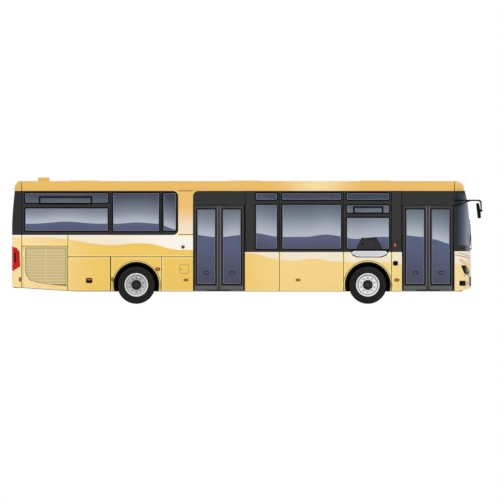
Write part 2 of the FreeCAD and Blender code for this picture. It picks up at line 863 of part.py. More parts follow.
# Window frames with their panes bonded on the outside.
def window_run(side, band, low, cells, meets=(False, False), corner=None):
    """A black frame with rounded openings, and the flush panes outside it.

    Each cell lists the two margins of a pane and its openings' heights.
    """
    x0, x1, _ = BANDS[band]
    places = [x0] + joints(band) + [x1]
    ya, yb, yc = HALF, HALF - S.glass_thick, INNER
    f0, f1 = span(yb * side, yc * side)
    g0, g1 = span(ya * side, yb * side)
    frame = box(x0, x1, f0, f1, low, CANT)
    holes, panes = [], []
    for n, (before, after, heights) in enumerate(cells):
        a = places[n] + (S.seam / 2 if n or meets[0] else 0)
        b = places[n + 1] - (S.seam / 2 if n < len(cells) - 1 or meets[1] else 0)
        panes.append(box(a, b, g0, g1, low + S.seam, CANT - S.seam))
        for z0, z1 in heights:
            hole = box(a + before, b - after, f0 - 50, f1 + 50, z0, z1)
            holes.append(rounded(hole, S.pane_corner, along("y")))
    if corner:
        def at_end(edge):
            return along("y")(edge) and edge.CenterOfMass.x > float(x1) - 1
        frame = rounded(frame, corner + 1, at_end)
        panes[-1] = rounded(panes[-1], corner, at_end)
    return cut(frame, holes), panes


def build_windows():
    top = CANT - S.top_rail
    post, edge = S.window_post, S.mullion
    light = (top - S.light_tall, top)
    under = light[0] - S.transom
    hopper = (top - S.hopper_tall, top)
    rear = [(post, edge + 13, [hopper, (S.waist_rear + S.sill_rear,
                                        hopper[0] - S.hopper_bar)]),
            (edge, edge, [(S.waist_rear + S.sill_rear - 10, top)]),
            (edge - 14, edge, [(S.waist_rear + S.sill_rear, top)])]
    frame_a, panes_a = window_run(-1, "right_rear", S.waist_rear, rear,
                                  corner=S.band_corner)
    sill = S.waist_front + S.sill_front
    slider = (under - S.slider_tall - 13, under - 13)
    full = [light, (sill, under)]
    frame_b, panes_b = window_run(-1, "right_middle", S.waist_front, [
        (S.door_post, edge, full), (edge + 12, edge, full),
        (edge + 24, edge, [light, slider, (sill, slider[0] - S.transom)]),
        (edge, edge, [])])
    left_a, lpanes_a = window_run(1, "left_rear", S.waist_rear, rear, (False, True))
    left_b, lpanes_b = window_run(1, "left_middle", S.waist_front, [
        (edge, edge, full), (edge, edge, full), (edge, edge, full), (edge, edge, full),
        (edge, edge, [(sill, top)])], (True, False))
    node("frames_right", [frame_a, frame_b])
    node("frames_left", [left_a, left_b])
    node("end_frames", [shape_of(front_frame), tail_frame])
    node("glass_right", panes_a + panes_b)
    node("glass_left", lpanes_a + lpanes_b)
    node("glass_rear", [tail_glass])


build_windows()


# Doorways: two leaves glide inwards. Each leaf hangs at its middle on a
# swing arm below it and one above it, and both arms turn about one jamb.
Y_LEAF = -HALF + S.door_recess + S.door_thick / 2
ARM_LOW = S.floor_low + S.arm_gap
ARM_TOP = DOOR_TOP + S.arm_gap
HEADER_LOW = ARM_TOP + S.arm_thick + S.arm_gap
POSTS = []
HEADERS = []


def door_leaf(tag, way, x_pivot, x_mid, x_end):
    """One leaf, its pane and its pair of arms."""
    near = x_pivot - 6 * way
    far = x_end - 4 * way
    a, b = span(near, far)
    y0, y1 = Y_LEAF - S.door_thick / 2, Y_LEAF + S.door_thick / 2
    leaf = box(a, b, y0, y1, S.door_low, DOOR_TOP)
    hole = box(a + S.door_stile, b - S.door_stile, y0 - 10, y1 + 10,
               S.door_glass_low, DOOR_GLASS_TOP)
    loose = S.pin_radius + S.run_fit
    pins = [rod("z", x_mid, Y_LEAF, S.door_low - 5, loose, 25),
            rod("z", x_mid, Y_LEAF, DOOR_TOP - 20, loose, 25)]
    handle = box(a + 20, b - 20, y1, y1 + 18, 1020, 1045)
    leaf = fuse([cut(leaf, [hole] + pins), handle])
    node(f"door_{tag}_leaf", [leaf])
    pane = box(a + S.door_stile + S.fit, b - S.door_stile - S.fit, Y_LEAF - 4, Y_LEAF + 4,
               S.door_glass_low + S.fit, DOOR_GLASS_TOP - S.fit)
    node(f"door_{tag}_glass", [pane])
    arms = []
    c, d = span(x_pivot, x_mid)
    for low, pin_low in ((ARM_LOW, ARM_LOW), (ARM_TOP, ARM_TOP - S.arm_gap - 18)):
        bar = box(c, d, Y_LEAF - S.arm_width / 2, Y_LEAF + S.arm_width / 2, low,
                  low + S.arm_thick)
        eye = rod("z", x_pivot, Y_LEAF, low, S.pin_radius + 8, S.arm_thick)
        end = rod("z", x_mid, Y_LEAF, low, S.arm_width / 2, S.arm_thick)
        pin = rod("z", x_mid, Y_LEAF, pin_low, S.pin_radius,
                  S.arm_thick + S.arm_gap + 18)
        bore = rod("z", x_pivot, Y_LEAF, low - 5, loose, S.arm_thick + 10)
        arms.append(cut(fuse([bar, eye, end, pin]), [bore]))
    node(f"door_{tag}_arms", arms)


def doorway(name, x0, x1):
    """The leaves, header and pivot pins of one doorway."""
    x_end = (x0 + x1) / 2
    beam = box(x0, x1, -HALF, -INNER, HEADER_LOW, CANT)
    if name == "mid":
        beam = rounded(beam, S.band_corner + 1, lambda e: along("y")(e) and
                       e.CenterOfMass.x < float(x0) + 1 and e.CenterOfMass.z > float(CANT) - 1)
    header = [beam, box(x0, x1, -HALF, -HALF + 4, DOOR_TOP + 6, HEADER_LOW)]
    for tag, way, jamb in (("rear", 1, x0), ("front", -1, x1)):
        x_pivot = jamb + S.pivot_inset * way
        x_mid = (x_pivot + x_end) / 2
        door_leaf(f"{name}_{tag}", way, x_pivot, x_mid, x_end)
        POSTS.append(rod("z", x_pivot, Y_LEAF, S.floor_low - 5, S.pin_radius,
                         S.arm_gap + S.arm_thick + 5))
        header.append(rod("z", x_pivot, Y_LEAF, ARM_TOP, S.pin_radius,
                          S.arm_thick + S.arm_gap + 5))
    HEADERS.append(fuse(header))


doorway("mid", MID0, MID1)
doorway("front", FRONT0, FRONT1)
node("door_headers", HEADERS + [nose_post])


# Side lids.
def build_side_lids():
    t = S.lid_thick
    panel = box(RAD0, RAD1, -HALF, -HALF + t, S.radiator_low, S.radiator_top)
    g0, g1 = RAD0 + S.grille_edge, RAD1 - S.grille_edge / 2
    low, top = S.grille_low, S.grille_top
    wide, tall = g1 - g0, top - low
    shape = [(g0 + wide * a, low + tall * b) for a, b in (
        (0.04, 0.254), (0.12, 0.148), (0.34, 0.085), (0.70, 0.029), (1, 0), (1, 1), (0, 1),
        (0, 0.36))]
    hole = prism("XZ", shape, -HALF - 10, -HALF + t + 10)
    count = int(SIZES["slat_count"])
    pitch = (top - low) / count
    slats = [box(g0 - 5, g1 + 5, -HALF + 8, -HALF + t - 4, low + pitch * n,
                 low + pitch * n + S.slat_thick) for n in range(1, count)]
    bars = common(fuse(slats), prism("XZ", [(g0 - 4, low - 4), (g1 + 4, low - 4),
                                            (g1 + 4, top + 4), (g0 - 4, top + 4)],
                                     -HALF, -HALF + t))
    door = cut(panel, [hole, skirt_cut()])
    masked = cut(bars, [box(g0 - 20, g0, -HALF - 5, -HALF + t + 5, low + 700, top)])
    node("radiator_door", [fuse([door, masked, box((g0 + g1) / 2 - 12, (g0 + g1) / 2 + 12,
                                                   -HALF + t - 5, -HALF + t, low - 10,
                                                   top + 10)] + RAD_LID)])
    flap = box(FLAP0, FLAP1, -HALF, -HALF + t, S.flap_low, S.flap_top)
    x = (FLAP0 + FLAP1) / 2
    cup = rounded(box(x - 85, x + 85, -HALF - 1, -HALF + 14, 545, 685), 40, along("y"))
    bar = rod("x", x - 90, -HALF + 7, 615, 6, 180)
    node("service_flap", [fuse([cut(flap, [cup, skirt_cut()]), bar] + FLAP_LID)])


build_side_lids()


# Wheels: the tyre, the rim with its hub, and the steered knuckles.
def mirrored(points, side):
    return [(as_size(y) * side, r) for y, r in points]


def tyre_points(c):
    w = S.tyre_width / 2
    r0, r1 = S.rim_radius, S.tyre_radius
    return [(c - w + 26, r0), (c - w, r0 + 110), (c - w + 22, r1), (c + w - 22, r1),
            (c + w, r0 + 110), (c + w - 26, r0)]


def hand_holes(side, y, x, z, radius, ring):
    """Ten round holes through a disc."""
    tools = []
    for n in range(10):
        angle = 2 * math.pi * (n + 0.5) / 10
        start = as_size(y) - 60 if side > 0 else -as_size(y) - 60
        tools.append(rod("y", x + ring * math.cos(angle), start,
                         z + ring * math.sin(angle), radius, 120))
    return tools


def front_wheel(side, tag):
    c = Y_WHEEL
    w = S.rim_width / 2
    r, inner = S.rim_radius, S.rim_radius - 12
    bore = S.spindle_radius + S.run_fit
    pts = [(c - w, r), (c + w, r), (c + w, inner), (c + 62, inner), (c + 62, S.hub_radius),
           (c + 104, S.hub_radius - 25), (c + 104, 0), (c + 84, 0), (c + 84, bore),
           (c - 30, bore), (c - 30, 100), (c + 48, 100), (c + 48, inner), (c - w, inner)]
    disc = turned(mirrored(pts, side), X_AXLE_FRONT, Z_AXLE)
    rim = cut(disc, hand_holes(side, c + 55, X_AXLE_FRONT, Z_AXLE, 28, 180))
    node(f"rim_front_{tag}", [rim])
    tyre = turned(mirrored(tyre_points(c), side), X_AXLE_FRONT, Z_AXLE)
    node(f"tyre_front_{tag}", [tyre])


def rear_wheel(side, tag):
    """Two tyres and two dished rims back to back on one hub."""
    c, d = Y_WHEEL, Y_INNER_WHEEL
    face = (c + d) / 2
    w = S.rim_width / 2
    r, inner = S.rim_radius, S.rim_radius - 12
    bore = S.spindle_radius + 15 + S.run_fit
    outer = [(c - w, r), (c + w, r), (c + w, inner), (c - w + 30, inner),
             (face + 14, inner - 45), (face + 14, S.hub_radius),
             (face + 160, S.hub_radius - 8), (face + 185, S.hub_radius - 40),
             (face + 185, 0), (face + 165, 0), (face + 165, bore), (face, bore),
             (face, inner - 33), (c - w, inner)]
    back = [(d + w, r), (d - w, r), (d - w, inner), (d + w - 30, inner),
            (face - 14, inner - 45), (face - 14, bore), (face, bore), (face, inner - 33),
            (d + w, inner)]
    rims = []
    for pts in (outer, back):
        disc = turned(mirrored(pts, side), X_AXLE_REAR, Z_AXLE)
        rims.append(cut(disc, hand_holes(side, face, X_AXLE_REAR, Z_AXLE, 28, 178)))
    node(f"rims_rear_{tag}", rims)
    tyres = [turned(mirrored(tyre_points(y), side), X_AXLE_REAR, Z_AXLE) for y in (c, d)]
    node(f"tyres_rear_{tag}", tyres)


for side, tag in ((-1, "right"), (1, "left")):
    front_wheel(side, tag)
    rear_wheel(side, tag)


def knuckle(side, tag):
    """Kingpin, fork and spindle of one steered wheel."""
    k = Y_KINGPIN
    y0, y1 = span((k - 45) * side, (k + 88) * side)
    w0, w1 = span((k + 64) * side, (k + 88) * side)
    s0, s1 = span((k + 70) * side, (Y_WHEEL + 78) * side)
    x, z = X_AXLE_FRONT, Z_AXLE
    gap = S.fit
    parts = [box(x - 45, x + 45, y0, y1, z + 60 + gap, z + 95),
             box(x - 45, x + 45, y0, y1, z - 95, z - 60 - gap),
             box(x - 55, x + 55, w0, w1, z - 95, z + 95),
             rod("z", x, k * side, z - 95, S.kingpin_radius, 190),
             rod("y", x, s0, z, S.spindle_radius, s1 - s0),
             box(x - 190, x - 40, w0, w1, z - 90, z - 60)]
    node(f"knuckle_{tag}", [fuse(parts)])


knuckle(-1, "right")
knuckle(1, "left")


def build_axles():
    x, z = X_AXLE_FRONT, Z_AXLE
    low, top = 222, 300
    half = [(0, low), (500, low), (620, 400), (Y_KINGPIN - 80, z - 60),
            (Y_KINGPIN, z - 60), (Y_KINGPIN, z + 60),
            (700, z + 60), (610, 450), (520, top), (0, top)]
    points = [(as_size(y), as_size(h)) for y, h in half]
    left = prism("YZ", points, x - 55, x + 55)
    right = prism("YZ", [(-y, h) for y, h in points], x - 55, x + 55)
    parts = [left, right]
    holes = []
    for side in (-1, 1):
        parts.append(rod("z", x, Y_KINGPIN * side, z - 60, 55, 120))
        holes.append(rod("z", x, Y_KINGPIN * side, z - 70, S.kingpin_radius + S.run_fit, 140))
    node("front_axle", [cut(fuse(parts), holes)])
    rods = []
    for side in (-1, 1):
        y0, y1 = span(330 * side, 390 * side)
        rods.append(fuse([box(x - 400, x - 55, y0, y1, 240, 290),
                          box(x - 400, x - 330, y0, y1, 240, FLOOR_UNDER)]))
    x = X_AXLE_REAR
    inner = Y_INNER_WHEEL - S.rim_width / 2
    face = (Y_WHEEL + Y_INNER_WHEEL) / 2
    spindle = S.spindle_radius + 15
    parts = [rod("y", x, -inner + 40, z, 85, (inner - 40) * 2),
             rod("y", x, -(face + 158), z, spindle, (face + 158) * 2),
             rod("y", x, -160, z, 210, 320)]
    for side in (-1, 1):
        y0, y1 = span(290 * side, 390 * side)
        parts.append(box(x - 460, x + 460, y0, y1, z - 60, z))
        for shift in (-350, 350):
            rods.append(rod("z", x + shift, 340 * side, z, 105, S.floor_high -
                            S.floor_thick - 160 - z))
    x_deck = RAD1 + 16
    shaft = rod("x", x_deck - 120, 0, z, 45, x - 210 - (x_deck - 120))
    node("rear_axle", [fuse(parts), shaft])
    node("suspension", rods)


build_axles()


# Floors, wheel boxes and underframe.
def build_floor():
    low, top = FLOOR_UNDER, S.floor_low
    b = S.box_half
    xf, xr = X_AXLE_FRONT, X_AXLE_REAR
    plate = box(STEP, X_NOSE, -INNER, INNER, low, top)
    sills = [box(MID0, MID1, -HALF, -INNER, low, top),
             box(FRONT0, FRONT1, -HALF, -INNER, low, top)]
    gaps = [box(xf - b, xf + b, 500, HALF, low - 5, top + 5),
            box(xf - b, xf + b, -HALF - 5, -500, low - 5, top + 5)]
    base = fuse([cut(plate, gaps)] + sills + POSTS)
    nose = shape_of(NOSE_IN.common(slab(XN, XN + 190, float(low), float(top))))
    toe = shape_of(NOSE_IN.common(slab(XN + 182, XN + 190, float(top), S.mask_top)))
    t = S.floor_thick
    high = S.floor_high
    deck = S.engine_deck
    x_deck = RAD1 + 16
    raised = box(x_deck, STEP, -INNER, INNER, high - t, high)
    holes = [box(xr - b, xr + b, 582, HALF, high - t - 5, high + 5),
             box(xr - b, xr + b, -HALF, -582, high - t - 5, high + 5)]
    parts = [cut(raised, holes),
             box(STEP, STEP + t, -INNER, INNER, top, high),
             box(STEP + t, STEP + 300, -380, 380, top, (top + high) / 2),
             box(X_TAIL, x_deck, -INNER, INNER, deck - t, deck),
             box(x_deck - t, x_deck, -INNER, INNER, high - t, deck)]
    panels = [box(RAD0 - 14, RAD1 + 10, -INNER, -INNER + 8, deck, S.radiator_top + 30),
              box(FLAP0 - 10, FLAP1 + 20, -INNER, -INNER + 8, high, S.flap_top + 30)]
    step_up = fuse([box(CAB0, X_NOSE, 260, INNER, top, top + 250),
                    shape_of(NOSE_IN.common(slab(XN, XN + 182, float(top),
                                                 float(top) + 250, 260, 1400)))])
    node("floor", [base, nose, toe, fuse(parts), step_up] + panels)
    p = S.plate
    boxes = []
    for x, inner, shut in ((xf, 500, low), (xr, 582, as_size(720))):
        for side in (-1, 1):
            y0, y1 = span(inner * side, INNER * side)
            i0, i1 = span(inner * side, (inner + p) * side)
            boxes.append(fuse([
                box(x - b, x - 150, i0, i1, low, S.box_top),
                box(x + 150, x + b, i0, i1, low, S.box_top),
                box(x - b, x + b, y0, y1, S.box_top - p, S.box_top),
                box(x - b, x + b, i0, i1, shut, S.box_top),
                box(x - b, x - b + p, y0, y1, low, S.box_top),
                box(x + b - p, x + b, y0, y1, low, S.box_top)]))
    node("wheel_boxes", boxes)
    rails = []
    for side in (-1, 1):
        y0, y1 = span(300 * side, 380 * side)
        rails.append(box(x_deck - 60, STEP, y0, y1, high - t - 160, high - t))
        c0, c1 = span(400 * side, 460 * side)
        rails.append(box(X_TAIL - 205 + S.fit, x_deck - 60, c0, c1, 420, 470))
    for x in (x_deck + 120, STEP - 60):
        rails.append(box(x, x + 60, -INNER, INNER, high - t - 110, high - t))
    cross = [box(X_TAIL + 150, X_TAIL + 210, -400, 400, 420, 470),
             box(X_TAIL + 900, X_TAIL + 960, -400, 400, 420, 470)]
    head = cut(box(x_deck - 60, x_deck - 52, -INNER, INNER, 440, deck - t),
               [rod("x", x_deck - 100, 0, Z_AXLE, 80, 120)])
    node("underframe", [fuse(rails + cross + [head])])
    engine = box(X_TAIL + 130, x_deck - 120, -380, 380, 470, 1040)
    node("engine", [engine])
    rad = box(RAD0 + 80, RAD1 - 80, -1190, -1110, 470, deck - t)
    node("radiator", [rad])


build_floor()


# Mirrors on arms ahead of the windscreen.
def build_mirrors():
    heads = []
    for side in (-1, 1):
        y0, y1 = span(HALF * side, (HALF + 30) * side)
        top = MIRROR_LOW + S.mirror_tall
        tip, bar, deep = X_FRONT + S.mirror_reach, S.mirror_arm, S.mirror_deep
        low = top - S.mirror_tall / 2
        back = X_NOSE - S.mirror_foot
        arm = prism("XZ", [(back, top + 50), (tip - deep * 0.65, top + 50),
                           (tip - deep * 0.38, top + 15), (tip - deep * 0.3, low),
                           (tip - deep * 0.3 + bar, low), (tip - deep * 0.12, top + 20),
                           (tip - deep * 0.29, top + 50 + bar * 0.7),
                           (tip - deep * 0.59, top + 50 + bar * 1.2),
                           (back, top + 50 + bar * 1.2)], y0, y1)
        strut = prism("XZ", [(back, top - 75), (X_NOSE + 60, top - 75),
                             (X_NOSE + 440, top + 55), (X_NOSE + 370, top + 62),
                             (X_NOSE + 60, top - 40), (back, top - 40)], y0, y1)
        knob = rod("y", tip - bar, y0, low, bar, y1 - y0)
        h0, h1 = span((HALF + 55 - S.mirror_wide) * side, (HALF + 55) * side)
        shape = [(0.0, 0.94), (0.06, 1.0), (0.38, 1.0), (0.48, 0.94), (0.7, 0.5),
                 (0.76, 0.12), (0.74, 0.05), (0.66, 0.0), (0.34, 0.0), (0.24, 0.06)]
        case = prism("XZ", [(tip - deep * (1 - a), MIRROR_LOW + S.mirror_tall * b)
                            for a, b in shape], h0, h1)
        head = rounded(case, 12, lambda e: not along("y")(e))
        arm = fuse([arm, strut, knob])
        heads += [fuse([arm, head])]
    node("mirrors", heads)


build_mirrors()


# Cab and saloon.
def seat(x, y, z, way=1):
    """One seat on a pedestal, its back behind its cushion."""
    y = as_size(y)
    tall, deep, back = S.seat_tall, S.seat_deep * way, S.seat_back
    shell = prism("XZ", [(x - deep * 0.45, z + tall * 0.91), (x + deep * 0.47, z + tall * 0.955),
                         (x + deep * 0.47, z + tall * 1.035), (x - deep * 0.32, z + tall),
                         (x - deep * 0.54, z + tall + back),
                         (x - deep * 0.62, z + tall + back)],
                  y - S.seat_wide / 2, y + S.seat_wide / 2)
    a, b = span(x - S.seat_leg / 2 * way, x + S.seat_leg / 2 * way)
    leg = box(a, b, y - S.seat_leg / 3, y + S.seat_leg / 3, z, z + tall * 0.943)
    return fuse([shell, leg])


def build_interior():
    low, high, deck = S.floor_low, S.floor_high, S.engine_deck
    seats = []
    pitch = S.seat_wide * 1.1
    pairs = [pitch + S.seat_wide * 0.13, pitch * 2 + S.seat_wide * 0.03]
    for n in (-2, -1, 0, 1, 2):
        seats.append(seat(X_TAIL + 420, pitch * n, deck))
    x_deck = RAD1 + 16
    for x in (x_deck + 420, STEP - 420):
        for y in pairs:
            seats += [seat(x, y, high), seat(x, -y, high)]
    for y in (-pairs[1], pairs[1]):
        seats.append(seat(X_AXLE_REAR - 20, y, S.box_top))
    for x in (X_AXLE_FRONT - S.box_half - 1900, X_AXLE_FRONT - S.box_half - 1120,
              X_AXLE_FRONT - S.box_half - 340):
        for y in pairs:
            seats.append(seat(x, y, low))
    for x in (MID1 + 420, MID1 + 1200):
        seats.append(seat(x, -pairs[1], low))
    node("passenger_seats", seats)
    ceiling = S.roof_top - S.roof_wall
    poles = []
    for x, y, z in ((STEP + 420, -480, low), (MID1 + 60, -480, low),
                    (STEP - 60, -270, high), (STEP - 60, 270, high),
                    (X_AXLE_FRONT - 700, -430, low), (X_AXLE_FRONT - 700, 260, low),
                    (X_AXLE_FRONT - 1600, 260, low), (x_deck + 860, 270, high),
                    (x_deck + 860, -270, high), (MID1 + 800, -430, low)):
        poles.append(rod("z", x, y, z, S.pole_radius, ceiling - z))
    node("handrails", poles)
    x0, x1 = CAB0, X_NOSE
    top = low + 250
    wall_ = box(x0, x0 + 30, 260, INNER, top, 1450)
    side_ = box(x0 + 30, x0 + 700, 260, 290, top, 1450)
    node("cab_partition", [fuse([wall_, side_])])
    seat_x = x0 + 560
    chair = fuse([box(seat_x - 130, seat_x + 130, 570, 830, top, top + 330),
                  prism("XZ", [(seat_x - 230, top + 330), (seat_x + 250, top + 330),
                               (seat_x + 250, top + 430), (seat_x - 130, top + 430),
                               (seat_x - 250, top + 1180), (seat_x - 340, top + 1160)],
                        450, 950)])
    node("driver_seat", [chair])
    desk = prism("XZ", [(x1 - 60, top), (x1 + 182, top), (x1 + 182, 1375),
                        (x1 + 60, 1375), (x1 - 55, 1230), (x1 - 55, 1000),
                        (x1 - 20, 960)], 330, 1130)
    desk = common(desk, shape_of(nose_solid(float(S.nose_wall) + FIT, 300)))
    column = rod("z", x1 - 330, 700, top, 40, 466)
    wheel = doc.addObject("Part::Torus", "Ring")
    wheel.Radius1, wheel.Radius2 = 225, 16
    place(wheel, x1 - 330, 700, top + 470)
    HIDDEN.append(wheel)
    spoke = box(x1 - 330 - 220, x1 - 330 + 220, 680, 720, top + 462, top + 478)
    node("dashboard", [desk, fuse([column, wheel, spoke])])


build_interior()

doc.recompute()
os.makedirs("parts", exist_ok=True)
for label, item in NODES.items():
    faults = [word for word in item.State if word in ("Invalid", "Error")]
    if faults or not item.Shape.isValid() or not item.Shape.Solids:
        raise ValueError(f"{label} did not build")
    item.Shape.exportStep(f"parts/{label}.step")
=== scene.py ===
"""Dresses the packed city bus: paint, glazing, wheels, lamps, fittings and saloon."""
import logging
import math
from dataclasses import dataclass, field
from enum import Enum
from typing import Callable, Optional, Sequence, Union

import bmesh
import bpy
from mathutils import Matrix, Vector
from mathutils.bvhtree import BVHTree
from mathutils.geometry import tessellate_polygon


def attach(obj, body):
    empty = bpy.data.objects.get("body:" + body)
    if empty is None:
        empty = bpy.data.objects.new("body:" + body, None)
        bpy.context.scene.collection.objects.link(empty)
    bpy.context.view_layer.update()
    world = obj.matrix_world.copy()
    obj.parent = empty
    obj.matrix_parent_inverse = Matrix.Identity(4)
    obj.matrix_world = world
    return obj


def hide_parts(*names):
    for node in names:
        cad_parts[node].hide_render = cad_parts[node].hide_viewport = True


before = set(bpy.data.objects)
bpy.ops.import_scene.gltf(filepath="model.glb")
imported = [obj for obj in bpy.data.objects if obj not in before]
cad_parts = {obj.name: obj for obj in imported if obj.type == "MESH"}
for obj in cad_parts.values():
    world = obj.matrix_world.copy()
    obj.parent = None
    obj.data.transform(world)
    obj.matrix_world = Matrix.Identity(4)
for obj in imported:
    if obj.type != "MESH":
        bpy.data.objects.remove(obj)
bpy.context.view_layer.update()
LOG = logging.getLogger("city_bus")

Point2 = tuple[float, float]
Point3 = tuple[float, float, float]
Box = tuple[float, float, float, float]
Shape = bmesh.types.BMesh
Vertex = bmesh.types.BMVert
Material = bpy.types.Material
Piece = bpy.types.Object
Colour = tuple[float, float, float]
Value = Union["Sock", float, int]

# Metres in the shared frame: x forwards, y to the left, z up from the road
REAR = -6.15
PIXEL = 0.02614
HALF = 1.275
AXLES = (-2.9, 3.15)
AXLE_HEIGHT = 0.5
MIDSHIP = 0.1
LOW = 0.327
WAIST = 1.804
LOW_WAIST = 1.359
ROOF_EDGE = 2.95
CANT = 2.956
NOSE_SEAM = 5.42
TAIL_SEAM = -5.9
DOORWAYS = (-1.419, 4.042)
DOORWAY = 1.36


def px(column: float) -> float:
    """Length position of a column of the side drawing, in metres."""
    return (column - 12.0) * PIXEL + REAR


def py(row: float) -> float:
    """Height of a row of the side drawing, in metres."""
    return (304.0 - row) * PIXEL


def drawn(c0: float, c1: float, r0: float, r1: float) -> Box:
    """Box between two columns and two rows of the side drawing."""
    return (px(c0), px(c1), py(r0), py(r1))


def inset(box: Box, by: float) -> Box:
    """A box with its edges moved inwards."""
    return (box[0] + by, box[1] - by, box[2] + by, box[3] - by)


def srgb(red: float, green: float, blue: float) -> Colour:
    """Linear colour of an 8-bit screen colour.

    Args:
        red: red, from 0 to 255.
        green: green.
        blue: blue.

    Returns:
        The three linear values.
    """
    def lift(level: float) -> float:
        """Linear value of one channel."""
        level /= 255.0
        return level / 12.92 if level <= 0.04045 else ((level + 0.055) / 1.055) ** 2.4
    return (lift(red), lift(green), lift(blue))


class Side(Enum):
    """Which flank of the bus a piece sits on."""
    RIGHT = -1
    LEFT = 1


def _step(operation: str, note: str, flip: bool = False) -> Callable[..., "Sock"]:
    """Makes a method of Sock that adds one Math node.

    Args:
        operation: the node's operation.
        note: what the method gives.
        flip: True where the socket itself is the second operand.

    Returns:
        The method.
    """
    def method(self: "Sock", *others: Value) -> "Sock":
        """Adds the node."""
        values = (*others, self) if flip else (self, *others)
        return self.maker.node("ShaderNodeMath", {"operation": operation},
                               dict(enumerate(values)))
    method.__doc__ = note
    return method


class Sock:
    """A shader socket with arithmetic; each operation adds a Math node."""

    def __init__(self, maker: "Maker", socket: bpy.types.NodeSocket) -> None:
        """Wraps one output socket of a tree."""
        self.maker = maker
        self.socket = socket

    __add__ = __radd__ = _step("ADD", "Sum.")
    __sub__ = _step("SUBTRACT", "Difference.")
    __rsub__ = _step("SUBTRACT", "Reflected difference.", flip=True)
    __mul__ = __rmul__ = _step("MULTIPLY", "Product.")
    __truediv__ = _step("DIVIDE", "Quotient.")
    __abs__ = _step("ABSOLUTE", "Size without sign.")
    above = _step("GREATER_THAN", "1 where the value is above a limit.")
    below = _step("LESS_THAN", "1 where the value is below a limit.")
    sine = _step("SINE", "Sine of the value.")
    cosine = _step("COSINE", "Cosine of the value.")
    root = _step("SQRT", "Square root of the value.")
    turn = _step("ARCTAN2", "Angle of the point whose height is this value.")
    least = _step("MINIMUM", "The smaller of two.")
    most = _step("MAXIMUM", "The larger of two.")

    def ramp(self, start: float, end: float) -> "Sock":
        """Smooth step from 0 at start to 1 at end."""
        return self.maker.node("ShaderNodeMapRange", {"interpolation_type": "SMOOTHSTEP"},
                               {"Value": self, "From Min": start, "From Max": end})

    def within(self, low: float, high: float) -> "Sock":
        """1 between two limits."""
        return self.above(low) * self.below(high)

    def near(self, place: float, width: float) -> "Sock":
        """1 at a place, falling to 0 at a distance of width."""
        return abs(self - place).ramp(width, 0.0)

    def line(self, place: float, half: float) -> "Sock":
        """1 inside a narrow line."""
        return abs(self - place).below(half)


class Maker:
    """Builds one material's node tree."""

    def __init__(self, name: str) -> None:
        """Starts an empty material with a surface shader.

        Args:
            name: the material's name.
        """
        self.material = bpy.data.materials.new(name)
        self.material.use_nodes = True
        self.tree = self.material.node_tree
        self.tree.nodes.clear()
        out = self.tree.nodes.new("ShaderNodeOutputMaterial")
        self.shader = self.tree.nodes.new("ShaderNodeBsdfPrincipled")
        self.tree.links.new(self.shader.outputs[0], out.inputs[0])
        self._axes: Optional[tuple[Sock, Sock, Sock]] = None
        self._where: Optional[Sock] = None

    def node(self, kind: str, settings: dict, inputs: dict, output: Union[int, str] = 0) -> Sock:
        """Adds a node.

        Args:
            kind: the node's type.
            settings: attributes that are set first.
            inputs: values or wrapped sockets by input name or number.
            output: which output to wrap.

        Returns:
            The wrapped output.
        """
        item = self.tree.nodes.new(kind)
        for name, value in settings.items():
            setattr(item, name, value)
        for name, value in inputs.items():
            self.feed(item.inputs[name], value)
        return Sock(self, item.outputs[output])

    def feed(self, socket: bpy.types.NodeSocket, value: object) -> None:
        """Links or sets one input.

        Args:
            socket: the input.
            value: a wrapped socket or a value.
        """
        if isinstance(value, Sock):
            self.tree.links.new(value.socket, socket)
        elif isinstance(value, tuple) and len(value) == 3 and len(socket.default_value) == 4:
            socket.default_value = (*value, 1.0)
        else:
            socket.default_value = value

    def where(self) -> Sock:
        """Object coordinates."""
        if self._where is None:
            self._where = self.node("ShaderNodeTexCoord", {}, {}, "Object")
        return self._where

    def axes(self) -> tuple[Sock, Sock, Sock]:
        """The x, y and z of the object coordinates.

        Returns:
            The three wrapped values.
        """
        if self._axes is None:
            split = self.node("ShaderNodeSeparateXYZ", {}, {0: self.where()}).socket.node
            self._axes = tuple(Sock(self, output) for output in split.outputs)
        return self._axes

    def about_axle(self) -> tuple[Sock, Sock]:
        """Distance from the nearer axle in the side plane, and the angle about it.

        Returns:
            The distance and the angle.
        """
        x, _, z = self.axes()
        ahead = x - (x.above(MIDSHIP) * (AXLES[1] - AXLES[0]) + AXLES[0])
        up = z - AXLE_HEIGHT
        return (ahead * ahead + up * up).root(), up.turn(ahead)

    def mix(self, first: Union[Sock, Colour], second: Union[Sock, Colour], share: Value) -> Sock:
        """Mixes two colours.

        Args:
            first: the colour at 0.
            second: the colour at 1.
            share: how much of the second.

        Returns:
            The mixed colour.
        """
        return self.node("ShaderNodeMix", {"data_type": "RGBA"},
                         {0: share, 6: first, 7: second}, 2)

    def noise(self, scale: float, detail: float = 2.0) -> Sock:
        """A noise value on the object coordinates."""
        return self.node("ShaderNodeTexNoise", {}, {"Vector": self.where(), "Scale": scale,
                                                    "Detail": detail})

    def bump(self, height: Sock, strength: float, distance: float) -> None:
        """Feeds a bump into the normal.

        Args:
            height: the height over the surface.
            strength: the bump's strength.
            distance: its depth in metres; a negative one sinks.
        """
        link = self.node("ShaderNodeBump", {}, {"Strength": strength, "Distance": distance,
                                                "Height": height})
        self.feed(self.shader.inputs["Normal"], link)

    def finish(self, **inputs: object) -> Material:
        """Sets the shader's sockets and returns the material."""
        for name, value in inputs.items():
            self.feed(self.shader.inputs[name.replace("_", " ")], value)
        return self.material


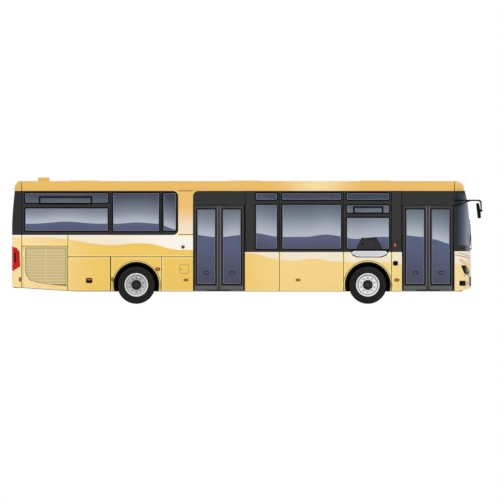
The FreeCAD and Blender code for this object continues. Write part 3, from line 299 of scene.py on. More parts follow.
@dataclass(frozen=True)
class PlainFinish:
    """A finish of one colour with a fine grain."""
    name: str
    colour: Colour
    rough: float
    metal: float = 0.0
    coat: float = 0.0
    grain: float = 60.0
    spread: float = 0.12
    dent: float = 0.0
    shine: float = 0.4

    def build(self) -> Material:
        """Builds the material.

        Returns:
            The material.
        """
        maker = Maker(self.name)
        cloud = maker.noise(self.grain, 3.0)
        dark = tuple(c * (1.0 - self.spread) for c in self.colour)
        light = tuple(min(1.0, c * (1.0 + self.spread) + 0.004) for c in self.colour)
        if self.dent:
            maker.bump(maker.noise(self.grain * 6.0, 2.0), 0.3, self.dent)
        return maker.finish(Base_Color=maker.mix(dark, light, cloud), Metallic=self.metal,
                            Roughness=cloud * 0.12 + (self.rough - 0.06),
                            Coat_Weight=self.coat, Specular_IOR_Level=self.shine)


@dataclass(frozen=True)
class PanelJoint:
    """Joints between body panels: dark lines with pale pressed edges.

    They stand at x = places between two heights, or lie at z = places
    between two lengths where level is set.
    """
    places: tuple[float, ...]
    start: float
    end: float
    level: bool = False
    side: Optional[Side] = None
    half: float = 0.009


@dataclass(frozen=True)
class CoachPaint:
    """Gold and cream livery with a wave between them, panel joints and creases."""
    name: str = "coach_paint"
    gold: Colour = srgb(244, 204, 104)
    pale: Colour = srgb(250, 218, 143)
    faded: Colour = srgb(252, 224, 164)
    cream: Colour = srgb(254, 248, 238)
    dull: Colour = srgb(248, 235, 212)
    band: Colour = srgb(235, 187, 104)
    # painted highlight colour of the roof band
    shine: Colour = srgb(247, 220, 162)
    post: tuple[Colour, Colour] = (srgb(242, 194, 114), srgb(247, 232, 206))
    nose_roof: Colour = srgb(244, 195, 101)
    tail_roof: Colour = srgb(221, 187, 98)
    slat: Colour = srgb(232, 213, 160)
    # darker gold edge and pale painted highlight of a brow over the head lamps
    brow: tuple[Colour, Colour] = (srgb(200, 148, 52), srgb(253, 226, 166))
    line: Colour = srgb(98, 82, 46)
    # pale colour of the painted highlights beside the joints, the arch lips and the skirt's foot
    edge: Colour = srgb(255, 233, 150)
    arch: float = 0.633
    joints: tuple[PanelJoint, ...] = (
        PanelJoint((-4.690,), LOW, 1.800, side=Side.RIGHT),
        PanelJoint((1.235,), -4.69, -1.42, level=True, side=Side.RIGHT),
        PanelJoint((-3.571,), LOW, 1.235, side=Side.RIGHT, half=0.014),
        PanelJoint((-2.242,), LOW, 1.235, side=Side.RIGHT),
        PanelJoint((1.512,), TAIL_SEAM, -4.69, level=True, side=Side.RIGHT),
        PanelJoint((1.816, 2.957), -1.80, -1.42, level=True, side=Side.RIGHT),
        PanelJoint((0.842, 2.516, 3.770), LOW, 1.36, side=Side.RIGHT),
        PanelJoint((-3.571, -2.242), LOW, 1.80, side=Side.LEFT),
        PanelJoint((-0.049, 1.511, 3.071, 4.391, 5.416), LOW, 1.36, side=Side.LEFT),
        PanelJoint((-5.896, 5.416), ROOF_EDGE, 3.16),
        PanelJoint((-5.896,), LOW, 1.80),
    )

    def wave(self, x: Sock) -> Sock:
        """Height of the lower edge of the cream field along the bus.

        Args:
            x: place along the bus.

        Returns:
            The height.
        """
        rear = (1.745 - x.ramp(px(45), px(112)) * 0.205 + x.near(px(140), 0.75) * 0.05 -
                x.ramp(px(150), px(180)) * 0.125)
        front = (1.34 - x.ramp(px(246), px(286)) * 0.205 + x.near(px(313), 0.45) * 0.055 -
                 x.ramp(px(322), px(350)) * 0.04 + x.near(px(372), 0.35) * 0.02 -
                 x.ramp(px(386), px(400)) * 0.055)
        share = x.above(px(219))
        return rear * (1 - share) + front * share

    def crease_lines(self, x: Sock, y: Sock, z: Sock) -> Sock:
        """Dark creases round the nose under the screen, and a washer's dot.

        Args:
            x: place along the bus.
            y: place across.
            z: height.

        Returns:
            The mask.
        """
        # painted shade along the lower and upper creases and along the nose's front edge
        low = (z - py(254.6) + (x - px(455)) * 0.23).line(0.0, 0.007) * x.above(px(455.3))
        high = (z - py(252.4) + (x - px(457.5)) * 0.32).line(0.0, 0.006)
        high = high * x.above(px(457.5)) * abs(y).above(0.64)
        edge = (x - px(467.8) - abs(z - 1.15) * 0.03).line(0.0, 0.003) * z.within(0.50, 1.20)
        ahead, up = x - px(464.6), z - py(275.6)
        dot = (ahead * ahead + up * up).root().below(0.016) * abs(y).above(0.9)
        return low.most(high).most(edge * 0.55).most(dot)

    def joint_masks(self, maker: Maker) -> tuple[Sock, Sock]:
        """Where the joints' dark lines and their pale edges are.

        Args:
            maker: the material's maker.

        Returns:
            The mask of the lines and that of the edges.
        """
        x, y, z = maker.axes()
        radius, _ = maker.about_axle()
        lip = abs(radius - self.arch)
        low_half = z.below(1.24)
        lines = lip.below(0.008) * low_half
        # painted highlight beside the dark line of the arch lip
        edges = lip.ramp(0.045, 0.012) * low_half
        on_side = abs(y).above(1.2)
        for joint in self.joints:
            along, across = (z, x) if joint.level else (x, z)
            gap = abs(along - joint.places[0])
            for spot in joint.places[1:]:
                gap = gap.least(abs(along - spot))
            inside = across.within(joint.start, joint.end)
            if joint.side is not None:
                inside = inside * (y * joint.side.value).above(0.0)
            lines = lines.most(gap.below(joint.half) * inside)
            # painted highlight beside each joint's dark line
            edges = edges.most(gap.ramp(0.060, 0.014) * inside)
        skirt = (0.044 - x * 0.0634).most((x - 5.514) * 0.264 + LOW).most(LOW)
        foot = z - skirt
        lines = lines.most(foot.below(0.013))
        # painted highlight above the dark line at the skirt's foot
        edges = edges.most(foot.ramp(0.060, 0.016))
        return lines * on_side, edges * on_side

    def build(self) -> Material:
        """Builds the material.

        Returns:
            The material.
        """
        maker = Maker(self.name)
        x, y, z = maker.axes()
        low = maker.mix(self.gold, self.pale, x.ramp(-0.9, 1.1))
        # paler gold towards both ends
        low = maker.mix(low, self.faded, x.ramp(-3.6, -5.9).most(x.ramp(5.0, 5.6)))
        # cream is lighter between columns 110 and 250; nearer the tail a painted highlight strip
        # runs just under the window band
        lighter_cream_and_highlight = x.ramp(px(110), px(165)) * x.ramp(px(250), px(230))
        lighter_cream_and_highlight = lighter_cream_and_highlight.most(z.near(1.796, 0.034) * x.below(px(112)))
        # painted highlight on the roof band round column 318
        roof = maker.mix(self.band, self.shine, x.near(px(318), 1.25))
        roof = maker.mix(roof, self.nose_roof, x.above(NOSE_SEAM))
        roof = maker.mix(roof, self.tail_roof, x.below(TAIL_SEAM))
        # curve of the painted brow highlight over the head lamps
        run = x - px(461.0)
        brow = z - py(260.2) + run * 0.75 + run * run * 0.75
        lines, edges = self.joint_masks(maker)
        # the painted shade of the nose creases joins the dark joint lines
        lines = lines.most(self.crease_lines(x, y, z) * z.below(1.4))
        body = low
        for tint, share in (
                (maker.mix(self.dull, self.cream, lighter_cream_and_highlight),
                 (z - self.wave(x)).ramp(-0.012, 0.012)),
                (maker.mix(*self.post, z.ramp(2.62, 1.86)),
                 z.above(1.816) * x.within(px(170), px(200))),
                (roof, z.above(ROOF_EDGE)),
                (self.slat, x.within(-5.794, -4.743) * z.within(0.48, 1.464) *
                 abs(y).within(1.2, 1.2705)),
                # painted highlight along a brow over the head lamps, edged in darker gold
                (self.brow[0], brow.within(-0.037, 0.037) *
                 x.within(px(460.4), px(470.4)) * abs(y).above(0.9)),
                (self.brow[1], brow.within(-0.020, 0.020) *
                 x.within(px(461.2), px(470.4)) * abs(y).above(0.914)),
                # painted highlights beside the joints, then the dark joint lines and painted
                # crease shade
                (self.edge, edges * z.below(1.83) * 0.8), (self.line, lines)):
            body = maker.mix(body, tint, share)
        maker.bump(lines, 0.4, -0.003)
        flake = maker.noise(900.0, 1.0)
        return maker.finish(Base_Color=body, Roughness=flake * 0.05 + 0.36, Coat_Weight=0.05,
                            Specular_IOR_Level=0.02)


@dataclass(frozen=True)
class TintedGlass:
    """Dark glazing with a soft mirrored sky over wavering hills.

    Each step is (first column, last column, rise) and each hump is (middle
    column, width, rise).
    """
    name: str
    low: float
    high: float
    horizon: float
    steps: tuple[Point3, ...] = ()
    humps: tuple[Point3, ...] = ()
    dusk: float = 1.0
    clear: float = 0.0
    alpha: float = 0.88

    def line(self, x: Sock) -> Sock:
        """Height of the hills' edge along the bus.

        Args:
            x: place along the bus.

        Returns:
            The height.
        """
        height = x * 0.0 + self.horizon
        for first, last, rise in self.steps:
            height = height + x.ramp(px(first), px(last)) * rise
        for middle, width, rise in self.humps:
            height = height + x.near(px(middle), width) * rise
        return height

    def build(self) -> Material:
        """Builds the material.

        Returns:
            The material.
        """
        maker = Maker(self.name)
        x, _, z = maker.axes()
        line = self.line(x)
        reach = self.high - self.horizon
        sky = (z - line) / reach
        land = (line - z) / max(self.horizon - self.low, 0.05)
        upper = maker.mix(srgb(193, 201, 214), srgb(132, 142, 157),
                          sky.ramp(-0.05, 0.42 + self.clear))
        upper = maker.mix(upper, srgb(92, 100, 116),
                          sky.ramp(0.30 + self.clear / 2, 0.75 + self.clear / 2))
        upper = maker.mix(upper, srgb(60, 66, 82), sky.ramp(0.6, 1.05))
        lower = maker.mix(srgb(94, 102, 134), srgb(80, 80, 100), land.ramp(0.0, 1.1) * self.dusk)
        tint = maker.mix(lower, upper, (z - line).ramp(-0.004, 0.004))
        return maker.finish(Base_Color=tint, Roughness=0.12, Alpha=self.alpha,
                            Specular_IOR_Level=0.15)


@dataclass(frozen=True)
class EdgedGlass:
    """Curved end glass: a field that lightens round the corner, and a black border."""
    name: str
    front: float
    low: float
    high: float
    reach: float

    def build(self) -> Material:
        """Builds the material.

        Returns:
            The material.
        """
        maker = Maker(self.name)
        x, y, z = maker.axes()
        inside = z.within(self.low, self.high)
        if self.front > 0:
            inside = inside * x.above(self.front)
            # painted reflection: darker on the flank, lighter round the nose's corner, darker
            # towards the top
            tint = maker.mix(srgb(62, 72, 94), srgb(132, 141, 154), x.ramp(5.54, 5.76))
            tint = maker.mix(tint, srgb(52, 60, 78), z.ramp(2.55, 2.95) * 0.8)
        else:
            inside = inside * abs(y).below(self.reach)
            # painted reflection: lighter at the foot, darker towards the top
            tint = maker.mix(srgb(150, 160, 178), srgb(57, 63, 78), z.ramp(self.low, self.high))
        colour = maker.mix(srgb(49, 49, 49), tint, inside)
        return maker.finish(Base_Color=colour, Roughness=0.16, Alpha=1.0 - inside * 0.2,
                            Specular_IOR_Level=0.04)


@dataclass(frozen=True)
class TyreRubber:
    """Tyre rubber: a dusty wall between a black shoulder and a black bead."""
    name: str = "tyre_rubber"

    def build(self) -> Material:
        """Builds the material.

        Returns:
            The material.
        """
        maker = Maker(self.name)
        radius, _ = maker.about_axle()
        dust = maker.noise(14.0, 4.0)
        wall = maker.mix(srgb(36, 35, 35), srgb(45, 44, 43), dust)
        rings = radius.near(0.384, 0.022).most(radius.near(0.436, 0.012) * 0.5)
        wall = maker.mix(wall, srgb(25, 24, 24), rings)
        black = radius.ramp(0.466, 0.482).most(radius.ramp(0.340, 0.330))
        colour = maker.mix(wall, srgb(10, 10, 10), black)
        height = maker.noise(260.0, 2.0) * 0.2 + rings * 0.8
        maker.bump(height, 0.3, -0.0012)
        return maker.finish(Base_Color=colour, Roughness=dust * 0.2 + 0.68,
                            Specular_IOR_Level=0.08)


@dataclass(frozen=True)
class WheelPaint:
    """Silver wheel with a shaded ring of hand holes round a black hub."""
    name: str = "wheel_silver"
    holes: float = 10.0

    def build(self) -> Material:
        """Builds the material.

        Returns:
            The material.
        """
        maker = Maker(self.name)
        radius, angle = maker.about_axle()
        cloud = maker.noise(30.0, 3.0)
        metal = maker.mix(srgb(240, 241, 244), srgb(255, 255, 255), cloud)
        petals = (angle * self.holes).cosine()
        # painted shade round each hand hole
        hole_shade = radius.near(0.178, 0.052) * (0.5 - petals * 0.5).ramp(0.25, 1.0)
        metal = maker.mix(metal, srgb(150, 152, 160), hole_shade * 0.55)
        grooves = radius.near(0.250, 0.007).most(radius.near(0.214, 0.004) * 0.3)
        metal = maker.mix(metal, srgb(84, 85, 88), grooves)
        hub = (0.127 + petals * 0.004 - radius).above(0.0)
        dark = maker.mix(srgb(7, 7, 7), srgb(50, 49, 49), radius.ramp(0.064, 0.058))
        colour = maker.mix(metal, dark, hub)
        maker.bump(grooves + cloud * 0.05, 0.3, -0.002)
        return maker.finish(Base_Color=colour, Roughness=cloud * 0.1 + 0.4,
                            Metallic=0.04 - hub * 0.04, Specular_IOR_Level=0.25)


@dataclass(frozen=True)
class TailLens:
    """Red tail lens with a dark slot on its flank and bands across its back."""
    name: str = "tail_lens"

    def build(self) -> Material:
        """Builds the material.

        Returns:
            The material.
        """
        maker = Maker(self.name)
        x, y, z = maker.axes()
        ribs = ((z * 420.0).sine() * 0.5 + 0.5) * 0.35
        red = maker.mix(srgb(214, 16, 14), srgb(160, 6, 6), ribs)
        back = x.ramp(-6.085, -6.105) * abs(y).below(1.13)
        red = maker.mix(red, srgb(214, 118, 36), back * z.within(1.24, 1.36))
        red = maker.mix(red, srgb(214, 216, 220), back * z.within(1.10, 1.20))
        slot = abs(x - px(15.2)).below(0.024) * z.within(py(262.6), py(252.6))
        rim = (x - (px(19.9) - abs(z - 1.18) * 0.10)).within(-0.012, 0.02)
        dark = (slot + rim * 0.7).least(1.0)
        colour = maker.mix(red, srgb(34, 8, 8), dark)
        maker.bump(ribs, 0.3, 0.002)
        return maker.finish(Base_Color=colour, Roughness=ribs * 0.1 + 0.16, Coat_Weight=0.1,
                            Specular_IOR_Level=0.1)


@dataclass(frozen=True)
class FinnedCore:
    """Radiator core: rows of fins between upright tubes."""
    name: str = "core_alloy"

    def build(self) -> Material:
        """Builds the material.

        Returns:
            The material.
        """
        maker = Maker(self.name)
        x, _, z = maker.axes()
        fins = (z * 1400.0).sine() * 0.5 + 0.5
        tubes = (x * 260.0).sine().ramp(0.75, 0.9)
        # dark bands between the fins are painted shade of the gaps
        colour = maker.mix(maker.mix(srgb(60, 62, 64), srgb(150, 152, 154), fins),
                           srgb(120, 122, 124), tubes)
        maker.bump(fins * (1 - tubes) + tubes, 0.6, 0.003)
        return maker.finish(Base_Color=colour, Roughness=fins * 0.2 + 0.4, Metallic=0.7)


@dataclass(frozen=True)
class ArchLining:
    """Black sprayed arch lining under a grey saloon cover."""
    name: str = "arch_lining"

    def build(self) -> Material:
        """Builds the material.

        Returns:
            The material.
        """
        maker = Maker(self.name)
        speck = maker.noise(180.0, 3.0)
        cover = maker.axes()[2].above(1.127)
        under = maker.mix(srgb(9, 9, 9), srgb(18, 18, 18), speck)
        colour = maker.mix(under, maker.mix(srgb(120, 122, 126), srgb(150, 152, 154), speck),
                           cover)
        maker.bump(speck, 0.35, 0.0015)
        return maker.finish(Base_Color=colour, Roughness=speck * 0.1 + 0.75,
                            Specular_IOR_Level=0.05)


@dataclass(frozen=True)
class Woven:
    """Seat cloth with a two-way weave."""
    name: str
    colour: Colour
    second: Colour

    def build(self) -> Material:
        """Builds the material.

        Returns:
            The material.
        """
        maker = Maker(self.name)
        x, y, z = maker.axes()
        weave = (x * 900.0 + z * 900.0).sine() * (y * 900.0).sine() * 0.5 + 0.5
        patch = maker.noise(22.0, 2.0).ramp(0.5, 0.62)
        colour = maker.mix(self.colour, self.second, patch)
        maker.bump(weave, 0.25, 0.0008)
        return maker.finish(Base_Color=colour, Roughness=weave * 0.1 + 0.85)


FINISHES = (
    PlainFinish("gloss_black", srgb(48, 47, 47), 0.4, spread=0.06, shine=0.12),
    PlainFinish("door_grey", srgb(62, 62, 63), 0.45, shine=0.15),
    PlainFinish("rail_grey", srgb(96, 96, 98), 0.5, shine=0.2),
    PlainFinish("frame_black", srgb(9, 9, 9), 0.5, shine=0.06),
    PlainFinish("black_print", srgb(50, 49, 49), 0.35, spread=0.05, shine=0.12),
    # pale rims of painted highlight at the glass's edge
    PlainFinish("ground_edge", srgb(150, 158, 176), 0.3, spread=0.04),
    PlainFinish("moulded_black", srgb(26, 26, 28), 0.5, dent=0.0004, shine=0.15),
    PlainFinish("seal_rubber", srgb(14, 14, 14), 0.8, dent=0.0005, shine=0.1),
    PlainFinish("rim_polish", srgb(240, 241, 244), 0.3, metal=0.1, spread=0.03),
    PlainFinish("nut_steel", srgb(70, 70, 72), 0.4, metal=0.8),
    PlainFinish("nut_black", srgb(11, 11, 11), 0.5, shine=0.1),
    PlainFinish("hub_grey", srgb(54, 53, 53), 0.5, shine=0.1, dent=0.0003),
    PlainFinish("chassis_black", srgb(20, 20, 21), 0.62, dent=0.0006, shine=0.08),
    PlainFinish("cast_block", srgb(84, 84, 88), 0.7, metal=0.4, dent=0.0012),
    PlainFinish("lamp_deep", srgb(122, 6, 4), 0.2, coat=0.1, grain=30.0),
    PlainFinish("lamp_amber", srgb(190, 96, 28), 0.18, coat=0.1, grain=30.0),
    PlainFinish("lamp_clear", srgb(214, 218, 224), 0.1, coat=0.6, grain=30.0),
    PlainFinish("lamp_black", srgb(14, 14, 16), 0.3, shine=0.03),
    PlainFinish("mirror_black", srgb(12, 12, 12), 0.5, shine=0.04),
    PlainFinish("grille_line", srgb(112, 98, 66), 0.6, shine=0.1),
    PlainFinish("grille_screen", srgb(168, 152, 112), 0.8, grain=500.0, shine=0.05),
    PlainFinish("drum_iron", srgb(204, 205, 208), 0.7, dent=0.0008, shine=0.1),
    PlainFinish("lens_bowl", srgb(150, 154, 162), 0.2, metal=0.9, grain=120.0),
    PlainFinish("bowl_dark", srgb(34, 36, 42), 0.15, metal=0.3, grain=120.0),
    PlainFinish("bulb_glass", srgb(120, 127, 140), 0.12, metal=0.2, grain=120.0),
    PlainFinish("mirror_face", srgb(200, 206, 212), 0.05, metal=1.0, spread=0.02),
    PlainFinish("plate_white", srgb(232, 232, 228), 0.4, spread=0.03),
    PlainFinish("strip_silver", srgb(232, 234, 238), 0.35, metal=0.1, spread=0.05),
    PlainFinish("strip_blank", srgb(208, 210, 214), 0.5, spread=0.06),
    PlainFinish("speckled_floor", srgb(92, 94, 98), 0.75, grain=420.0, spread=0.35),
    PlainFinish("trim_grey", srgb(150, 152, 154), 0.6, dent=0.0004),
    PlainFinish("seat_shell", srgb(58, 78, 120), 0.45, dent=0.0003),
    PlainFinish("rail_yellow", srgb(236, 190, 44), 0.3, coat=0.3),
    PlainFinish("dash_black", srgb(48, 48, 50), 0.7, dent=0.0006),
    PlainFinish("roof_plain", srgb(238, 200, 112), 0.42, coat=0.05, shine=0.15),
    PlainFinish("studio_floor", srgb(247, 247, 246), 0.9, spread=0.01, shine=0.0),
    PlainFinish("arm_steel", srgb(150, 152, 156), 0.3, metal=0.9),
    PlainFinish("display_dark", srgb(20, 20, 24), 0.3, grain=300.0, spread=0.3),
    CoachPaint(), TyreRubber(), WheelPaint(), TailLens(), FinnedCore(),
    ArchLining(),
    Woven("saloon_cloth", srgb(44, 62, 108), srgb(176, 84, 60)),
    Woven("driver_cloth", srgb(38, 38, 42), srgb(60, 60, 66)),
    TintedGlass("rear_side_glass", 1.89, 2.95, 2.10, ((156, 178, -0.16),),
                ((66, 0.85, 0.055), (137, 0.55, 0.032)), dusk=0.4),
    TintedGlass("middle_side_glass", 1.43, 3.02, 1.855, ((254, 280, -0.10),),
                ((326, 0.55, 0.06), (357, 0.5, -0.055)), clear=0.08),
    TintedGlass("door_glass", 0.50, 3.10, 1.805,
                ((196, 214, -0.05), (222, 242, 0.05), (400, 424, -0.05),
                 (424, 431, -0.06), (432, 451, -0.12))),
    EdgedGlass("front_screen_glass", 5.515, 1.53, 2.89, 0.0),
    EdgedGlass("rear_screen_glass", -1.0, 1.97, 2.80, 0.98),
)


class Finishes:
    """All materials by name, each built once."""

    def __init__(self) -> None:
        """Builds the finishes of the bus."""
        self.made = {item.name: item.build() for item in FINISHES}

    def __getitem__(self, name: str) -> Material:
        """Returns the material of a name."""
        return self.made[name]


# Mesh helpers

def show(name: str, data: bpy.types.ID) -> Piece:
    """Puts an object of a mesh, lamp or camera in the scene.

    Args:
        name: the object's name.
        data: what it shows.

    Returns:
        The object.
    """
    item = bpy.data.objects.new(name, data)
    bpy.context.scene.collection.objects.link(item)
    return item


def place(name: str, mesh: bpy.types.Mesh, finish: Optional[Material],
          body: str = "chassis") -> Piece:
    """Puts a mesh in the scene as a piece that rides on a body.

    Args:
        name: the piece's name.
        mesh: its mesh, in the shared frame.
        finish: its material, or None where the mesh has it.
        body: the body that it rides on.

    Returns:
        The piece.
    """
    item = show(name, mesh)
    if finish is not None:
        mesh.materials.append(finish)
    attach(item, body)
    LOG.info("piece %s: %d faces on %s", name, len(mesh.polygons), body)
    return item


def to_mesh(name: str, shape: Shape, smooth: bool = False) -> bpy.types.Mesh:
    """Closes a bmesh into a mesh with outward normals.

    Args:
        name: the mesh's name.
        shape: the bmesh, which is freed.
        smooth: True for smooth shading.

    Returns:
        The mesh.
    """
    bmesh.ops.recalc_face_normals(shape, faces=shape.faces)
    mesh = bpy.data.meshes.new(name)
    shape.to_mesh(mesh)
    shape.free()
    if smooth:
        mesh.polygons.foreach_set("use_smooth", [True] * len(mesh.polygons))
    return mesh


def rounded_rect(x0: float, x1: float, z0: float, z1: float, radius: Union[float, Sequence],
                 steps: int = 6) -> list[Point2]:
    """Corner points of a rectangle with rounded corners.

    Args:
        x0, x1, z0, z1: the rectangle.
        radius: one radius, or four from the lower left corner round.
        steps: segments per corner.

    Returns:
        The outline, anticlockwise.
    """
    radii = [radius] * 4 if isinstance(radius, (int, float)) else list(radius)
    points: list[Point2] = []
    for (cx, cz), turn, r in zip(((x0, z0), (x1, z0), (x1, z1), (x0, z1)),
                                 (180, 270, 0, 90), radii):
        if r <= 0:
            points.append((cx, cz))
            continue
        ox = cx + (r if cx == x0 else -r)
        oz = cz + (r if cz == z0 else -r)
        for n in range(steps + 1):
            a = math.radians(turn + 90.0 * n / steps)
            points.append((ox + r * math.cos(a), oz + r * math.sin(a)))
    return points


def plate(shape: Shape, outer: Sequence[Point2], holes: Sequence[Sequence[Point2]],
          y0: float, y1: float) -> None:
    """Adds a plate in the side plane, with holes, between two y values.

    Args:
        shape: collects the mesh.
        outer: its outline in x and z.
        holes: outlines of its openings.
        y0: where its face is.
        y1: where its back is.
    """
    loops = [list(outer)] + [list(h) for h in holes]
    flat = [p for loop in loops for p in loop]
    triangles = tessellate_polygon([[Vector((a, b, 0.0)) for a, b in loop] for loop in loops])
    front = [shape.verts.new((a, y0, b)) for a, b in flat]
    back = [shape.verts.new((a, y1, b)) for a, b in flat]
    for tri in triangles:
        shape.faces.new([front[i] for i in tri])
        shape.faces.new([back[i] for i in reversed(tri)])
    start = 0
    for loop in loops:
        count = len(loop)
        for n in range(count):
            a, b = start + n, start + (n + 1) % count
            shape.faces.new([front[a], front[b], back[b], back[a]])
        start += count


def slab(shape: Shape, low: Point3, high: Point3, bevel: float = 0.0,
         segments: int = 2) -> None:
    """Adds a block with softened edges.

    Args:
        shape: collects the mesh.
        low: its lowest corner.
        high: its highest corner.
        bevel: width of the softened edges, or 0.
        segments: steps across a softened edge.
    """
    size = Vector(high) - Vector(low)
    centre = (Vector(high) + Vector(low)) / 2
    made = bmesh.ops.create_cube(shape, size=1.0, matrix=Matrix.Translation(centre) @
                                 Matrix.Diagonal((*size, 1.0)))
    if bevel > 0:
        edges = {e for v in made["verts"] for e in v.link_edges}
        bmesh.ops.bevel(shape, geom=list(edges), offset=bevel, segments=segments,
                        affect="EDGES", clamp_overlap=True)


def tube(shape: Shape, points: Sequence[Point3], radius: float,
         sides: int = 12) -> None:
    """Adds a round bar through points, closed at both ends.

    Args:
        shape: collects the mesh.
        points: the middle line.
        radius: the bar's radius.
        sides: faces round the bar.
    """
    rings = []
    path = [Vector(p) for p in points]
    for n, spot in enumerate(path):
        ahead = path[min(n + 1, len(path) - 1)] - path[max(n - 1, 0)]
        ahead.normalize()
        helper = Vector((0, 0, 1)) if abs(ahead.z) < 0.9 else Vector((1, 0, 0))
        u = ahead.cross(helper).normalized()
        v = ahead.cross(u).normalized()
        rings.append([shape.verts.new(spot + (u * math.cos(2 * math.pi * k / sides) +
                                              v * math.sin(2 * math.pi * k / sides)) * radius)
                      for k in range(sides)])
    for a, b in zip(rings, rings[1:]):
        for k in range(sides):
            shape.faces.new([a[k], a[(k + 1) % sides], b[(k + 1) % sides], b[k]])
    shape.faces.new(rings[0])
    shape.faces.new(rings[-1])


def lathe(shape: Shape, profile: Sequence[Point2], x: float, side: int,
          segments: int = 96) -> None:
    """Adds a ring about a wheel's axis from (y, radius) points, closed on itself.

    Args:
        shape: collects the mesh.
        profile: the section's points.
        x: the axle's place.
        side: 1 on the left, -1 on the right.
        segments: steps round the axis.
    """
    rings = []
    for n in range(segments):
        a = 2 * math.pi * n / segments
        rings.append([shape.verts.new((x + r * math.cos(a), y * side,
                                       AXLE_HEIGHT + r * math.sin(a))) for y, r in profile])
    count = len(profile)
    for n in range(segments):
        one, two = rings[n], rings[(n + 1) % segments]
        for k in range(count):
            shape.faces.new([one[k], one[(k + 1) % count], two[(k + 1) % count], two[k]])


class RingTree:
    """A geometry tree that sets copies of a small piece round a wheel's axis."""

    def __init__(self, name: str) -> None:
        """Builds the tree with its named inputs.

        Args:
            name: the tree's name.
        """
        self.tree = bpy.data.node_groups.new(name, "GeometryNodeTree")
        face, nodes, links = self.tree.interface, self.tree.nodes, self.tree.links
        sockets = [face.new_socket(label, in_out=way, socket_type="NodeSocket" + kind)
                   for label, way, kind in (("Geometry", "INPUT", "Geometry"),
                                            ("Count", "INPUT", "Int"),
                                            ("Ring Radius", "INPUT", "Float"),
                                            ("Finish", "INPUT", "Material"),
                                            ("Geometry", "OUTPUT", "Geometry"))]
        self.keys = [socket.identifier for socket in sockets[1:4]]
        start, end, ring, copies, align, spot, real, paint, turn = (
            nodes.new(kind) for kind in (
                "NodeGroupInput", "NodeGroupOutput", "GeometryNodeMeshCircle",
                "GeometryNodeInstanceOnPoints", "FunctionNodeAlignRotationToVector",
                "GeometryNodeInputPosition", "GeometryNodeRealizeInstances",
                "GeometryNodeSetMaterial", "GeometryNodeTransform"))
        align.axis = "X"
        turn.inputs["Rotation"].default_value = (math.pi / 2, 0.0, 0.0)
        for source, output, target, socket in (
                (start, "Count", ring, "Vertices"), (start, "Ring Radius", ring, "Radius"),
                (ring, 0, copies, "Points"), (start, "Geometry", copies, "Instance"),
                (spot, 0, align, "Vector"), (align, 0, copies, "Rotation"),
                (copies, 0, real, 0), (real, 0, turn, "Geometry"),
                (turn, 0, paint, "Geometry"), (start, "Finish", paint, "Material"),
                (paint, 0, end, 0)):
            links.new(source.outputs[output], target.inputs[socket])

    def build(self, name: str, seed: bpy.types.Mesh, count: int, radius: float,
              finish: Material, centre: Point3, body: str) -> Piece:
        """Rings a seed mesh about the Y axis and moves it to a centre.

        Args:
            name: the piece's name.
            seed: the mesh that is repeated; its X points outwards, its Z along the axis.
            count: how many copies.
            radius: the ring's radius in metres.
            finish: the copies' material.
            centre: the wheel's centre.
            body: the body that it rides on.

        Returns:
            The finished piece.
        """
        holder = show(name + "_seed", seed)
        change = holder.modifiers.new("ring", "NODES")
        change.node_group = self.tree
        for key, value in zip(self.keys, (count, radius, finish)):
            change[key] = value
        graph = bpy.context.evaluated_depsgraph_get()
        mesh = bpy.data.meshes.new_from_object(holder.evaluated_get(graph))
        bpy.data.objects.remove(holder)
        mesh.transform(Matrix.Translation(Vector(centre)))
        mesh.name = name
        return place(name, mesh, None, body)


@dataclass
class Works:
    """What the sub-assemblies share: shapes become pieces with a finish."""
    finishes: Finishes

    def piece(self, name: str, shape: Shape, finish: str, body: str = "chassis",
              smooth: bool = False) -> Piece:
        """Places a shape as a piece of one finish."""
        return place(name, to_mesh(name, shape, smooth), self.finishes[finish], body)

    def sheet(self, name: str, outer: Sequence[Point2], holes: Sequence[Sequence[Point2]],
              y: Point2, finish: str, body: str = "chassis") -> Piece:
        """Places a flat plate in the side plane between two y values.

        Args:
            name: the piece's name.
            outer: its outline in x and z.
            holes: outlines of its openings.
            y: where its face and its back are.
            finish: name of the finish.
            body: the body that it rides on.

        Returns:
            The piece.
        """
        shape = bmesh.new()
        plate(shape, outer, holes, *y)
        return self.piece(name, shape, finish, body)


@dataclass(frozen=True)
class Pane:
    """The margins of one pane and the heights of its openings."""
    before: float
    after: float
    rows: tuple[Point2, ...]


@dataclass(frozen=True)
class Band:
    """A run of panes between two ends, over one sill."""
    start: float
    end: float
    low: float
    joints: tuple[float, ...]
    panes: tuple[Pane, ...]
    glass: str
    gaps: tuple[bool, bool] = (False, False)
    corner: float = 0.0


